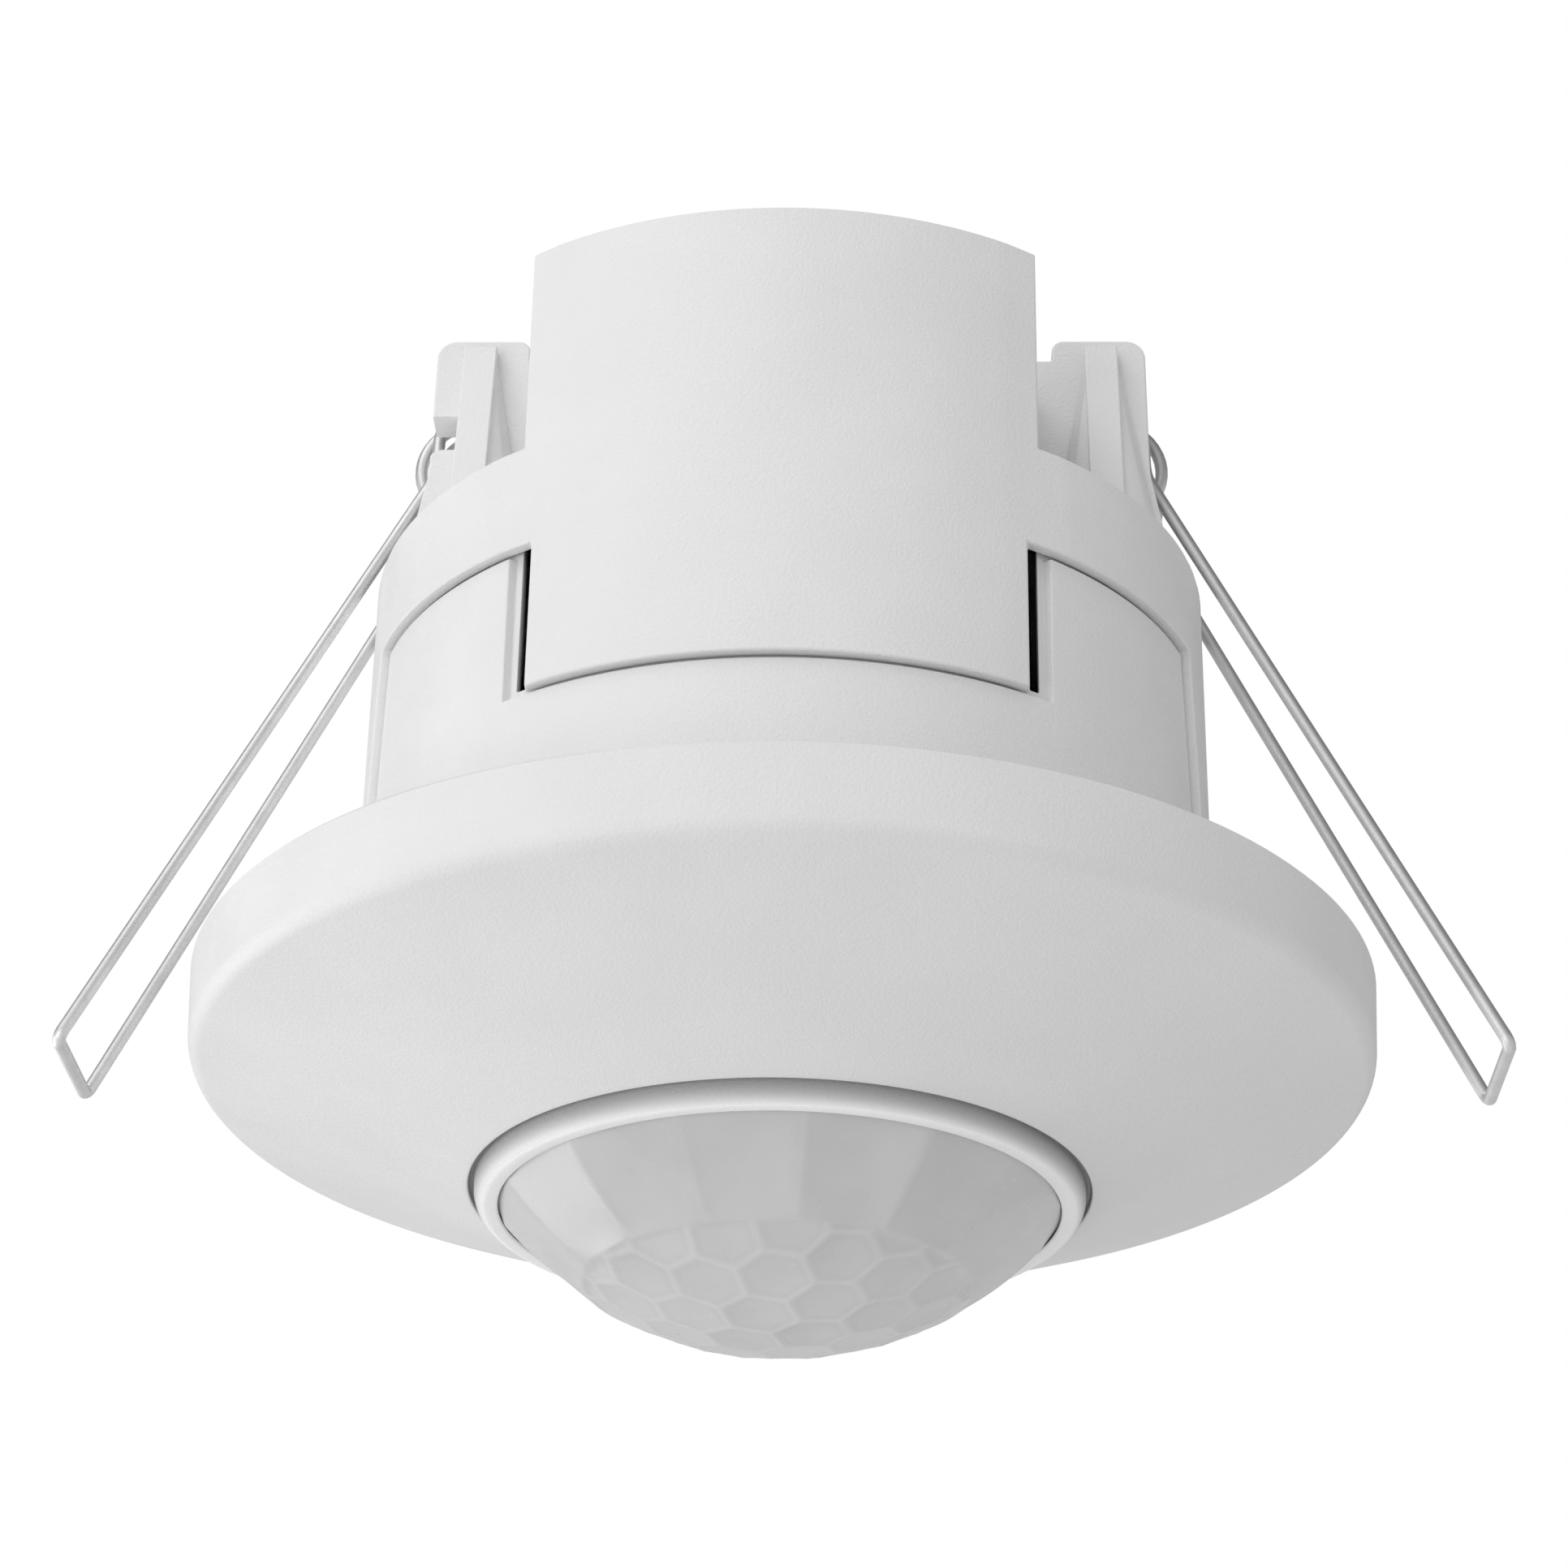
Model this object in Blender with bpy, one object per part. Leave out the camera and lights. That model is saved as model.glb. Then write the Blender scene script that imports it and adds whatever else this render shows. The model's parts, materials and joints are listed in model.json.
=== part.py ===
"""Ceiling motion sensor for recessed mounting.

The origin is on the sensor's upright axis, in the plane of the ceiling's room face. +Z points up,
into the ceiling, so the trim plate and the lens hang below the origin. Sizes are in millimetres
and are turned into metres by MM when a mesh is made.
"""
import bpy
import bmesh
from math import acos, asin, atan2, cos, pi, radians, sin
from mathutils import Matrix, Vector

MM = 0.001
GAP = 0.3                    # clearance between pieces that touch on the real object

# Trim plate
TRIM_R = 40.0                # rim, at the ceiling
TRIM_DRAFT = 0.25            # how much the rim narrows over its height
TRIM_WALL = 1.9
RIM_HEIGHT = 5.2             # straight part of the rim
RIM_FILLET = 0.9
CONE_SLOPE = 0.407           # fall of the face per millimetre towards the lens
BEAD_R = 19.95               # centre line of the raised bead round the lens
BEAD_Z = -14.1
BEAD_SECTION = 0.8
LENS_HOLE_R = BEAD_R - BEAD_SECTION

# Lens
DOME_R = 24.29
DOME_CENTRE_Z = 0.79
LENS_WALL = 0.8
LENS_R = LENS_HOLE_R - GAP
LENS_FLANGE_R = 21.5
LENS_SHOULDER_Z = -14.3
LENS_FLANGE_Z = -10.0
LENS_FLANGE_THICK = 0.9

# Housing
DRUM_R = 28.15
DRUM_WALL = 1.95
DRUM_TOP = 28.3
FLANGE_R = 37.6
FLANGE_THICK = 1.8
SLIT_X = (16.2, 16.8)        # slit between a tab of the cover and the drum's side panel
SLIT_DEPTH_Y = 19.4
SLIT_BOTTOM = 12.5
PANEL_R = 28.8               # side panels of the drum, raised between the cover's tabs and skirts
PANEL_TOP = 22.38
PANEL_CHAMFER = [(16.8, 21.9), (17.75, 22.68)]
BOSS_XY = (19.8, 15.6)
BOSS_R = 2.8
BOSS_BOTTOM = 17.0

# Rear cover
COVER_R = 29.36
COVER_WALL = 0.91
BAND_BOTTOM = 22.68
BAND_TOP = 30.17
DECK_UNDERSIDE = DRUM_TOP + GAP
BOX_TOP = 45.6
BOX_HALF_WIDTH = 17.0
BOX_WALL = 1.5
TAB_HALF_WIDTH = 16.15
TAB_BOTTOM = 11.95
SKIRT_HALF_WIDTH = (6.7, 9.5)  # at the flange, and at the band
CABLE_HOLE_Y = 10.0
CABLE_HOLE_R = 5.2

# Spring brackets, as the right-hand one stands
EAR_X = (18.95, 25.65)
EAR_Y = (4.4, 7.2)           # inner and outer face of each cheek
EAR_TOP = 49.65
EAR_CORNER = 1.4
EAR_FOOT = 29.2              # sunk into the cover's deck
WEB_TOP = 47.95
WEB_Y = (4.7, 7.2)
RIB_TOP = 48.6
RIB_X = (21.15, 23.5)
RIB_PROUD = (1.0, 5.2)       # at its top and at its foot
CONE_X = 22.35
CONE_RADII = (4.4, 1.15)
CONE_TOP = 48.2
SLOT_Z = (40.15, 43.2)

# Springs
WIRE_R = 0.45
PIVOT_X = 22.5
PIVOT_Z = 41.5
COIL_R = 4.35
COIL_TURNS = 1.75
COIL_INNER_Y = 1.4
COIL_OUTER_Y = 3.3
COIL_END_ANGLE = radians(60)
LEG_ANGLE = radians(26.85)   # of a leg at rest, from straight down
LEG_OFFSET = 2.29            # of the leg's line from the pivot
LEG_START_Y = 3.5
LEG_START = 3.0              # along the leg from its point nearest to the pivot
LEG_END = 52.7
LEG_END_Y = 5.0
BAIL_CORNER = 0.7
TAIL_Y = 1.4
TAIL_TOP = (19.6, 36.2)
TAIL_FOOT = (18.3, 31.0)
PIN_R = 3.3
PIN_HALF_LENGTH = 2.6
JOURNAL_R = 1.05
JOURNAL_REACH = 6.2

# Front plate and the boards
PLATE_BORE_R = 19.3
PLATE_FACE_Z = -11.6
PLATE_SEAT_Z = -10.3
PLATE_SEAT_R = 21.9
PLATE_WALL_R = 28.7
PLATE_FLANGE_R = 36.6
PLATE_TOP = -FLANGE_THICK - GAP
PLATE_FLANGE_THICK = 1.4
SENSOR_BOARD_R = 28.3
BOARD_THICK = 1.6
SENSOR_BOARD_Z = PLATE_TOP - BOARD_THICK
POWER_BOARD_R = 25.4
POWER_BOARD_Z = 12.0
DIAL_RING_R = 24.8
DIAL_R = 2.9
DIAL_Z = (-8.2, -5.6)
FRONT_SCREW_RING_R = 33.2
SPACER_RING_R = 22.8
FAR = 60.0                   # reach of the boxes that cut away everything beyond a plane

# Parts on the boards: place in XY, then size
RETAINER_R = (18.2, 21.5)
RETAINER_Z = (-8.75, -7.65)
CAN_R = 4.1
CAN_HEIGHT = 4.4
CAN_BRIM_R = 4.6
CAN_BRIM_THICK = 0.8
WINDOW_SIZE = (5.0, 4.0, 0.5)
LIGHT_SENSOR = ((9.0, -7.0), 2.5, 2.0)
LED_XY = (-9.0, -7.0)
LED_R = 1.5
LED_STEM = 2.8
POT_R = 3.2
DIAL_SLOT = (1.0, 4.4, 1.0)  # width, length and depth
CHIP_SIZE = (7.0, 7.0, 1.2)
SPACER_R = (1.4, 2.2)
RELAY = ((0.0, 0.0), (19.0, 15.0, 15.5))
FILM_CAPACITOR = ((0.0, 14.0), (18.0, 7.0, 11.0))
TERMINAL_BLOCK = ((0.0, -15.25), (20.0, 9.5, 13.6))
TERMINAL_PITCH = 5.0
TERMINAL_SCREW = (1.7, 0.9)
VARISTOR = ((15.5, -3.0), 4.5, 3.6)
FUSE = ((-15.0, -4.0), 2.6, 8.0)
ELECTROLYTIC = ((-11.0, 6.0), 5.0, 11.5)
CHOKE = ((11.0, -8.0), 4.0, 8.5)
RECTIFIER = ((-3.0, -14.0), (7.0, 7.0, 3.0))
HEADER = ((13.0, 13.3), (10.0, 2.6))

ROUND = 72                   # sides of the large turned pieces
SMALL_ROUND = 20             # sides of pins, screws and cans


def clear_scene():
    for item in list(bpy.data.objects):
        bpy.data.objects.remove(item)


def material(name, colour, roughness, metallic=0.0, alpha=1.0):
    made = bpy.data.materials.new(name)
    made.use_nodes = True
    shader = made.node_tree.nodes["Principled BSDF"]
    shader.inputs["Base Color"].default_value = (*colour, 1.0)
    shader.inputs["Roughness"].default_value = roughness
    shader.inputs["Metallic"].default_value = metallic
    shader.inputs["Alpha"].default_value = alpha
    return made


def make_materials():
    return {
        "white": material("white_moulding", (0.86, 0.86, 0.86), 0.5),
        "lens": material("milky_lens", (0.8, 0.81, 0.81), 0.35, alpha=0.9),
        "steel": material("spring_steel", (0.62, 0.62, 0.63), 0.3, 1.0),
        "can": material("tinned_can", (0.75, 0.74, 0.7), 0.3, 1.0),
        "board": material("circuit_board", (0.05, 0.22, 0.1), 0.5),
        "black": material("black_moulding", (0.03, 0.03, 0.035), 0.5),
        "blue": material("blue_coating", (0.05, 0.2, 0.5), 0.4),
        "yellow": material("capacitor_box", (0.75, 0.6, 0.1), 0.5),
        "grey": material("grey_moulding", (0.45, 0.46, 0.47), 0.5),
        "rubber": material("grommet_rubber", (0.3, 0.3, 0.3), 0.8),
        "green": material("led_epoxy", (0.2, 0.7, 0.3), 0.2),
        "window": material("filter_window", (0.12, 0.12, 0.14), 0.15),
        "cream": material("nylon", (0.8, 0.78, 0.7), 0.5),
    }


def to_object(name, bm, finish, place=(0, 0, 0), smooth_below=35):
    """Close a bmesh in millimetres into an object in metres, shaded smooth between sharp edges."""
    bmesh.ops.remove_doubles(bm, verts=bm.verts, dist=0.001)
    bmesh.ops.recalc_face_normals(bm, faces=bm.faces)
    bmesh.ops.scale(bm, verts=bm.verts, vec=(MM, MM, MM))
    mesh = bpy.data.meshes.new(name)
    bm.to_mesh(mesh)
    bm.free()
    mesh.shade_smooth()
    mesh.set_sharp_from_angle(angle=radians(smooth_below))
    made = bpy.data.objects.new(name, mesh)
    made.location = Vector(place) * MM
    bpy.context.collection.objects.link(made)
    if finish is not None:
        mesh.materials.append(finish)
    return made


def turned(name, outline, finish, place=(0, 0, 0), sides=SMALL_ROUND, axis="Z"):
    """Spin an outline of (radius, height) points about the upright axis, or lay it along Y or X."""
    bm = bmesh.new()
    points = [bm.verts.new((r, 0, z)) for r, z in outline]
    edges = [bm.edges.new(pair) for pair in zip(points, points[1:])]
    if outline[0][0] > 0 and outline[-1][0] > 0:
        edges.append(bm.edges.new((points[-1], points[0])))
    bmesh.ops.spin(bm, geom=points + edges, cent=(0, 0, 0), axis=(0, 0, 1),
                   angle=2 * pi, steps=sides, use_merge=True)
    turns = {"Z": Matrix(), "Y": Matrix.Rotation(pi / 2, 3, "X"), "X": Matrix.Rotation(pi / 2, 3, "Y")}
    bmesh.ops.rotate(bm, verts=bm.verts, cent=(0, 0, 0), matrix=turns[axis].to_3x3())
    return to_object(name, bm, finish, place)


def cylinder(name, radius, low, high, finish=None, place=(0, 0), sides=SMALL_ROUND):
    bm = bmesh.new()
    bmesh.ops.create_cone(bm, cap_ends=True, segments=sides, radius1=radius, radius2=radius,
                          depth=high - low)
    bmesh.ops.translate(bm, verts=bm.verts, vec=(place[0], place[1], (low + high) / 2))
    return to_object(name, bm, finish)


def tube(name, inner, outer, low, high, finish, place=(0, 0), sides=SMALL_ROUND):
    outline = [(inner, low), (outer, low), (outer, high), (inner, high)]
    return turned(name, outline, finish, (place[0], place[1], 0), sides)


def box(name, low, high, finish=None, chamfer=0.0):
    bm = bmesh.new()
    bmesh.ops.create_cube(bm, size=1)
    size = [b - a for a, b in zip(low, high)]
    middle = [(a + b) / 2 for a, b in zip(low, high)]
    bmesh.ops.scale(bm, verts=bm.verts, vec=size)
    if chamfer:
        bmesh.ops.bevel(bm, geom=bm.edges[:], offset=chamfer, segments=1, affect="EDGES")
    bmesh.ops.translate(bm, verts=bm.verts, vec=middle)
    return to_object(name, bm, finish)


def prism(name, outline, low, high, plane="XY", finish=None):
    """Extrude a flat outline: an XY outline along Z, an XZ one along Y, or a YZ one along X."""
    order = {"XY": lambda a, b, c: (a, b, c), "XZ": lambda a, b, c: (a, c, b),
             "YZ": lambda a, b, c: (c, a, b)}[plane]
    bm = bmesh.new()
    face = bm.faces.new([bm.verts.new(order(a, b, low)) for a, b in outline])
    grown = bmesh.ops.extrude_face_region(bm, geom=[face])
    moved = [item for item in grown["geom"] if isinstance(item, bmesh.types.BMVert)]
    bmesh.ops.translate(bm, verts=moved, vec=order(0, 0, high - low))
    return to_object(name, bm, finish)


def combine(body, tool, operation):
    """Cut a tool out of a body, or join it on, and remove the tool."""
    step = body.modifiers.new("shape", "BOOLEAN")
    step.operation = operation
    step.solver = "EXACT"
    step.object = tool
    bpy.context.view_layer.objects.active = body
    bpy.ops.object.modifier_apply(modifier=step.name)
    bpy.data.objects.remove(tool)


def cut(body, tool):
    combine(body, tool, "DIFFERENCE")


def join(body, tool):
    combine(body, tool, "UNION")


def arc(centre, radius, start, end, steps):
    """Points on a circle's stretch, from one angle to another in degrees."""
    angles = [radians(start + (end - start) * i / steps) for i in range(steps + 1)]
    return [(centre[0] + radius * cos(a), centre[1] + radius * sin(a)) for a in angles]


def ring_places(radius, degrees):
    return [(radius * cos(radians(a)), radius * sin(radians(a))) for a in degrees]


def rim_foot():
    """Where the rim's fillet runs out into the face."""
    angle = -pi / 2 + atan2(CONE_SLOPE, 1)
    centre = (TRIM_R - TRIM_DRAFT - RIM_FILLET, -RIM_HEIGHT)
    return centre[0] + RIM_FILLET * cos(angle), centre[1] + RIM_FILLET * sin(angle)


def face_height(radius):
    """Height of the trim's conical face at a radius."""
    foot_r, foot_z = rim_foot()
    return foot_z - (foot_r - radius) * CONE_SLOPE


def make_trim(finish):
    fillet_end = -90 + atan2(CONE_SLOPE, 1) * 180 / pi
    fillet_centre = (TRIM_R - TRIM_DRAFT - RIM_FILLET, -RIM_HEIGHT)
    inner_r = TRIM_R - TRIM_WALL
    shelf_r = inner_r - 0.9
    outline = [(TRIM_R, 0)]
    outline += arc(fillet_centre, RIM_FILLET, 0, fillet_end, 3)
    outline += arc((BEAD_R, BEAD_Z), BEAD_SECTION, 45, -180, 6)
    outline += [(LENS_HOLE_R, face_height(LENS_HOLE_R) + TRIM_WALL)]
    outline += [(shelf_r, face_height(shelf_r) + TRIM_WALL)]
    outline += [(inner_r, face_height(shelf_r) + TRIM_WALL + 0.6), (inner_r, 0)]
    turned("trim_plate", outline, finish, sides=ROUND)


def dome(radius, rim_r, steps):
    """Outline of the lens's dome, from its lowest point to its edge."""
    last = 180 / pi * acos(rim_r / radius)
    return [(max(r, 0.0), z) for r, z in arc((0, DOME_CENTRE_Z), radius, -90, -last, steps)]


def make_lens(finish):
    inner_r = LENS_R - LENS_WALL
    outer = dome(DOME_R, LENS_R - 0.3, 6)
    inner = dome(DOME_R - LENS_WALL, inner_r, 6)
    outer[0] = (0, outer[0][1])
    inner[0] = (0, inner[0][1])
    flange_top = LENS_FLANGE_Z + LENS_FLANGE_THICK
    outline = outer + [(LENS_R, LENS_SHOULDER_Z), (LENS_R, LENS_FLANGE_Z)]
    outline += [(LENS_FLANGE_R, LENS_FLANGE_Z), (LENS_FLANGE_R, flange_top), (inner_r, flange_top)]
    turned("fresnel_lens", outline + inner[::-1], finish, sides=48)


def make_front_plate(finish):
    """The inner front: it seats the lens and lets the dials through, and the trim hides it."""
    outer_cone_r = 29.0
    outer_cone_z = PLATE_FACE_Z + (outer_cone_r - PLATE_BORE_R) * CONE_SLOPE
    seat_lip_z = PLATE_SEAT_Z + 1.05
    inner_cone_z = seat_lip_z + (PLATE_WALL_R - PLATE_SEAT_R) * CONE_SLOPE
    flange_low = PLATE_TOP - PLATE_FLANGE_THICK
    outline = [(PLATE_BORE_R, PLATE_FACE_Z), (outer_cone_r, outer_cone_z), (30.2, flange_low),
               (PLATE_FLANGE_R, flange_low), (PLATE_FLANGE_R, PLATE_TOP), (PLATE_WALL_R, PLATE_TOP),
               (PLATE_WALL_R, inner_cone_z), (PLATE_SEAT_R, seat_lip_z),
               (PLATE_SEAT_R, PLATE_SEAT_Z), (PLATE_BORE_R, PLATE_SEAT_Z)]
    plate = turned("front_plate", outline, finish, sides=48)
    for place in dial_places():
        cut(plate, cylinder("dial_hole", DIAL_R + 0.4, -12, -5, place=place))
    for place in front_screw_places():
        cut(plate, cylinder("screw_hole", 1.5, -6, 0, place=place, sides=12))


def dial_places():
    return ring_places(DIAL_RING_R, (225, 315))


def front_screw_places():
    return ring_places(FRONT_SCREW_RING_R, (90, 210, 330))


def cover_screw_places():
    x, y = BOSS_XY
    return [(x, y), (-x, -y)]


def skirt_side(side, gap):
    """A skirt's slanting side, in YZ, moved outwards by a gap: its low and its high end."""
    return [(side * (SKIRT_HALF_WIDTH[0] + gap), 0), (side * (SKIRT_HALF_WIDTH[1] + gap), BAND_BOTTOM)]


def make_panel(side_x, side_y):
    """A raised panel on the drum's wall, chamfered along the slit and slanting along the skirt."""
    start = asin(PANEL_CHAMFER[1][1] / PANEL_R) * 180 / pi
    outline = [PANEL_CHAMFER[0]] + arc((0, 0), PANEL_R, start, 12, 16)
    outline += arc((0, 0), DRUM_R - 0.8, 12, start, 16) + [(PANEL_CHAMFER[0][0], 21)]
    panel = prism("panel", [(side_x * x, side_y * y) for x, y in outline], -0.4, PANEL_TOP)
    low, high = skirt_side(side_y, GAP)
    middle = side_y * 2
    beyond = [(middle, -1), (low[0], -1), low, high, (high[0], PANEL_TOP + 1), (middle, PANEL_TOP + 1)]
    x = sorted((side_x * 18, side_x * FAR))
    cut(panel, prism("beyond", beyond, x[0], x[1], "YZ"))
    return panel


def make_housing(finish):
    """The drum that stands in the ceiling, with the flange that bears on the ceiling."""
    inner_r = DRUM_R - DRUM_WALL
    outline = [(inner_r, -FLANGE_THICK), (FLANGE_R, -FLANGE_THICK), (FLANGE_R, 0), (DRUM_R, 0),
               (DRUM_R, DRUM_TOP), (inner_r, DRUM_TOP)]
    housing = turned("housing", outline, finish, sides=ROUND)
    for place in cover_screw_places():
        join(housing, cylinder("boss", BOSS_R, BOSS_BOTTOM, DRUM_TOP - 0.2, place=place, sides=16))
        cut(housing, cylinder("boss_hole", 1.4, BOSS_BOTTOM + 2, DRUM_TOP + 1, place=place, sides=12))
    for place in front_screw_places():
        cut(housing, cylinder("screw_hole", 1.5, -3, 1, place=place, sides=12))
    for side_x in (-1, 1):
        for side_y in (-1, 1):
            join(housing, make_panel(side_x, side_y))
            x = sorted(side_x * value for value in SLIT_X)
            y = sorted((side_y * SLIT_DEPTH_Y, side_y * COVER_R))
            cut(housing, box("slit", (x[0], y[0], SLIT_BOTTOM), (x[1], y[1], DRUM_TOP + 1)))
    return housing


def ear_plate_outline():
    """A cheek of the right-hand bracket in XZ, with its top corners rounded."""
    left, right = EAR_X
    outline = [(left, EAR_FOOT), (right + 0.3, EAR_FOOT)]
    outline += arc((right - EAR_CORNER, EAR_TOP - EAR_CORNER), EAR_CORNER, 0, 90, 4)
    outline += arc((left + EAR_CORNER, EAR_TOP - EAR_CORNER), EAR_CORNER, 90, 180, 4)
    return outline


def mirrored_y(low, high, side):
    return sorted((side * low, side * high))


def make_cheek(side, slotted):
    """One cheek of the right-hand bracket: plate, web to the cable box, rib and conical gusset."""
    y = mirrored_y(*EAR_Y, side)
    plate = prism("cheek", ear_plate_outline(), y[0], y[1], "XZ")
    web_y = mirrored_y(*WEB_Y, side)
    join(plate, box("web", (BOX_HALF_WIDTH - 0.8, web_y[0], EAR_FOOT), (EAR_X[0] + 1, web_y[1], WEB_TOP)))
    gusset = turned("gusset", [(0, EAR_FOOT), (CONE_RADII[0], EAR_FOOT), (CONE_RADII[1], CONE_TOP),
                               (0, CONE_TOP)], None, (CONE_X, side * EAR_Y[1], 0), 24)
    inner_half = mirrored_y(-FAR, EAR_Y[0] + 1.0, side)
    cut(gusset, box("inner_half", (0, inner_half[0], 0), (FAR, inner_half[1], FAR)))
    if slotted:
        outer_half = mirrored_y(0, FAR, side)
        cut(gusset, box("outer_side", (CONE_X, outer_half[0], 0), (FAR, outer_half[1], FAR)))
    join(plate, gusset)
    outer = EAR_Y[1]
    rib = [(side * (outer - 1), EAR_FOOT), (side * (outer + RIB_PROUD[1]), EAR_FOOT),
           (side * (outer + RIB_PROUD[0]), RIB_TOP), (side * (outer - 1), RIB_TOP)]
    join(plate, prism("rib", rib, RIB_X[0], RIB_X[1], "YZ"))
    hole_y = sorted((side * (JOURNAL_REACH + GAP), side * 3.0))
    if slotted:
        slot = (PIVOT_X - 1.2, hole_y[0], SLOT_Z[0]), (FAR, hole_y[1], SLOT_Z[1])
        cut(plate, box("slot", *slot))
        mouth_y = mirrored_y(3.0, EAR_Y[1] + 1.2, side)
        cut(plate, box("mouth", (RIB_X[1] + 0.05, mouth_y[0], SLOT_Z[0]), (FAR, mouth_y[1], SLOT_Z[1])))
    else:
        outline = [(0, -1), (JOURNAL_R + GAP, -1), (JOURNAL_R + GAP, 1), (0, 1)]
        half = (hole_y[1] - hole_y[0]) / 2
        outline = [(r, z * half) for r, z in outline]
        middle = (hole_y[0] + hole_y[1]) / 2
        cut(plate, turned("hole", outline, None, (PIVOT_X, middle, PIVOT_Z), 12, "Y"))
    return plate


def turn_half_round(item):
    """Carry an object to the other side of the upright axis, where its twin stands."""
    item.data.transform(Matrix.Rotation(pi, 4, "Z"))
    return item


def box_cavity(radius, half_width, low, high):
    """The cable box's inside: a circle cut off flat on both sides."""
    limit = acos(half_width / radius) * 180 / pi
    outline = arc((0, 0), radius, limit, 180 - limit, 12)
    outline += arc((0, 0), radius, 180 + limit, 360 - limit, 12)
    return prism("cavity", outline, low, high)


def make_cover(finish):
    cover = cylinder("rear_cover", COVER_R, GAP, BOX_TOP, finish, sides=ROUND)
    for side in (-1, 1):
        x = sorted((side * BOX_HALF_WIDTH, side * FAR))
        cut(cover, box("shoulder", (x[0], -FAR, BAND_TOP), (x[1], FAR, FAR)))
        y = sorted((side * SKIRT_HALF_WIDTH[1], side * FAR))
        cut(cover, box("below_tab", (-FAR, y[0], -1), (FAR, y[1], TAB_BOTTOM)))
        low, high = skirt_side(side, 0)
        window = [(low[0], -1), low, high, (side * FAR, BAND_BOTTOM), (side * FAR, -1)]
        for side_x in (-1, 1):
            x = sorted((side_x * TAB_HALF_WIDTH, side_x * FAR))
            cut(cover, prism("window", window, x[0], x[1], "YZ"))
    cut(cover, cylinder("hollow", COVER_R - COVER_WALL, -1, DECK_UNDERSIDE, sides=ROUND))
    cut(cover, box_cavity(COVER_R - BOX_WALL, BOX_HALF_WIDTH - BOX_WALL, DECK_UNDERSIDE - 1,
                          BOX_TOP - BOX_WALL))
    cut(cover, cylinder("cable_hole", CABLE_HOLE_R, BOX_TOP - 3, BOX_TOP + 1, place=(0, CABLE_HOLE_Y)))
    for place in cover_screw_places():
        cut(cover, cylinder("screw_hole", 1.4, DECK_UNDERSIDE - 1, BAND_TOP + 1, place=place, sides=12))
    for half_turn in (False, True):
        for side, slotted in ((-1, False), (1, True)):
            cheek = make_cheek(side, slotted)
            if half_turn:
                turn_half_round(cheek)
            join(cover, cheek)
    cover.data.shade_smooth()
    cover.data.set_sharp_from_angle(angle=radians(30))


def wire(name, points, finish, place, rotation_z=0.0):
    """A round wire along points given in millimetres from the place."""
    curve = bpy.data.curves.new(name, "CURVE")
    curve.dimensions = "3D"
    curve.bevel_depth = WIRE_R * MM
    curve.bevel_resolution = 1
    curve.render_resolution_u = 0
    curve.use_fill_caps = True
    spline = curve.splines.new("POLY")
    spline.points.add(len(points) - 1)
    for target, point in zip(spline.points, points):
        target.co = (*(Vector(point) * MM), 1.0)
    curve.materials.append(finish)
    made = bpy.data.objects.new(name, curve)
    made.location = Vector(place) * MM
    made.rotation_euler.z = rotation_z
    bpy.context.collection.objects.link(made)
    return made


def coil_points():
    """One coil, from its inner end to the point where the leg begins, about the pivot."""
    steps = int(COIL_TURNS * 16)
    points = []
    for i in range(steps + 1):
        share = i / steps
        angle = COIL_END_ANGLE + (1 - share) * COIL_TURNS * 2 * pi
        y = COIL_INNER_Y + (COIL_OUTER_Y - COIL_INNER_Y) * share
        points.append(Vector((COIL_R * cos(angle), y, COIL_R * sin(angle))))
    return points


def leg_line(distance, y):
    """A point on a leg's straight line, from its point nearest to the pivot."""
    along = Vector((sin(LEG_ANGLE), 0, -cos(LEG_ANGLE)))
    across = Vector((cos(LEG_ANGLE), 0, sin(LEG_ANGLE)))
    return across * LEG_OFFSET + along * distance + Vector((0, y, 0))


def bend_points(start, heading, end, leaving, steps, pull):
    """A smooth bend between two points with set headings (a cubic Hermite curve)."""
    points = []
    for i in range(1, steps):
        t = i / steps
        points.append(start * (2 * t**3 - 3 * t**2 + 1) + heading * pull * (t**3 - 2 * t**2 + t)
                      + end * (3 * t**2 - 2 * t**3) + leaving * pull * (t**3 - t**2))
    return points


def half_bail():
    """Half of a clip spring on its +Y side: coil, leg and half of the bail's end."""
    coil = coil_points()
    heading = Vector((sin(COIL_END_ANGLE), 0, -cos(COIL_END_ANGLE)))
    along = Vector((sin(LEG_ANGLE), 0, -cos(LEG_ANGLE)))
    start = leg_line(LEG_START, LEG_START_Y)
    points = coil + bend_points(coil[-1], heading, start, along, 5, 5.5) + [start]
    corner_start = leg_line(LEG_END - BAIL_CORNER, LEG_END_Y)
    points.append(corner_start)
    for i in range(1, 5):
        turn = pi / 2 * i / 4
        forward = LEG_END - BAIL_CORNER + BAIL_CORNER * sin(turn)
        points.append(leg_line(forward, LEG_END_Y - BAIL_CORNER * (1 - cos(turn))))
    return points


def bail_points():
    half = half_bail()
    other = [Vector((p.x, -p.y, p.z)) for p in reversed(half)]
    return half + other


def tail_points():
    """The spring's fixed middle loop, about the pivot."""
    foot = Vector((TAIL_FOOT[0] - PIVOT_X, 0, TAIL_FOOT[1] - PIVOT_Z))
    top = Vector((TAIL_TOP[0] - PIVOT_X, TAIL_Y, TAIL_TOP[1] - PIVOT_Z))
    down = (foot - Vector((top.x, 0, top.z))).normalized()
    corner = 0.9
    half = [top]
    for i in range(4):
        turn = pi / 2 * i / 3
        place = foot + down * corner * (sin(turn) - 1)
        half.append(place + Vector((0, TAIL_Y - corner * (1 - cos(turn)), 0)))
    return half + [Vector((p.x, -p.y, p.z)) for p in reversed(half)]


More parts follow.
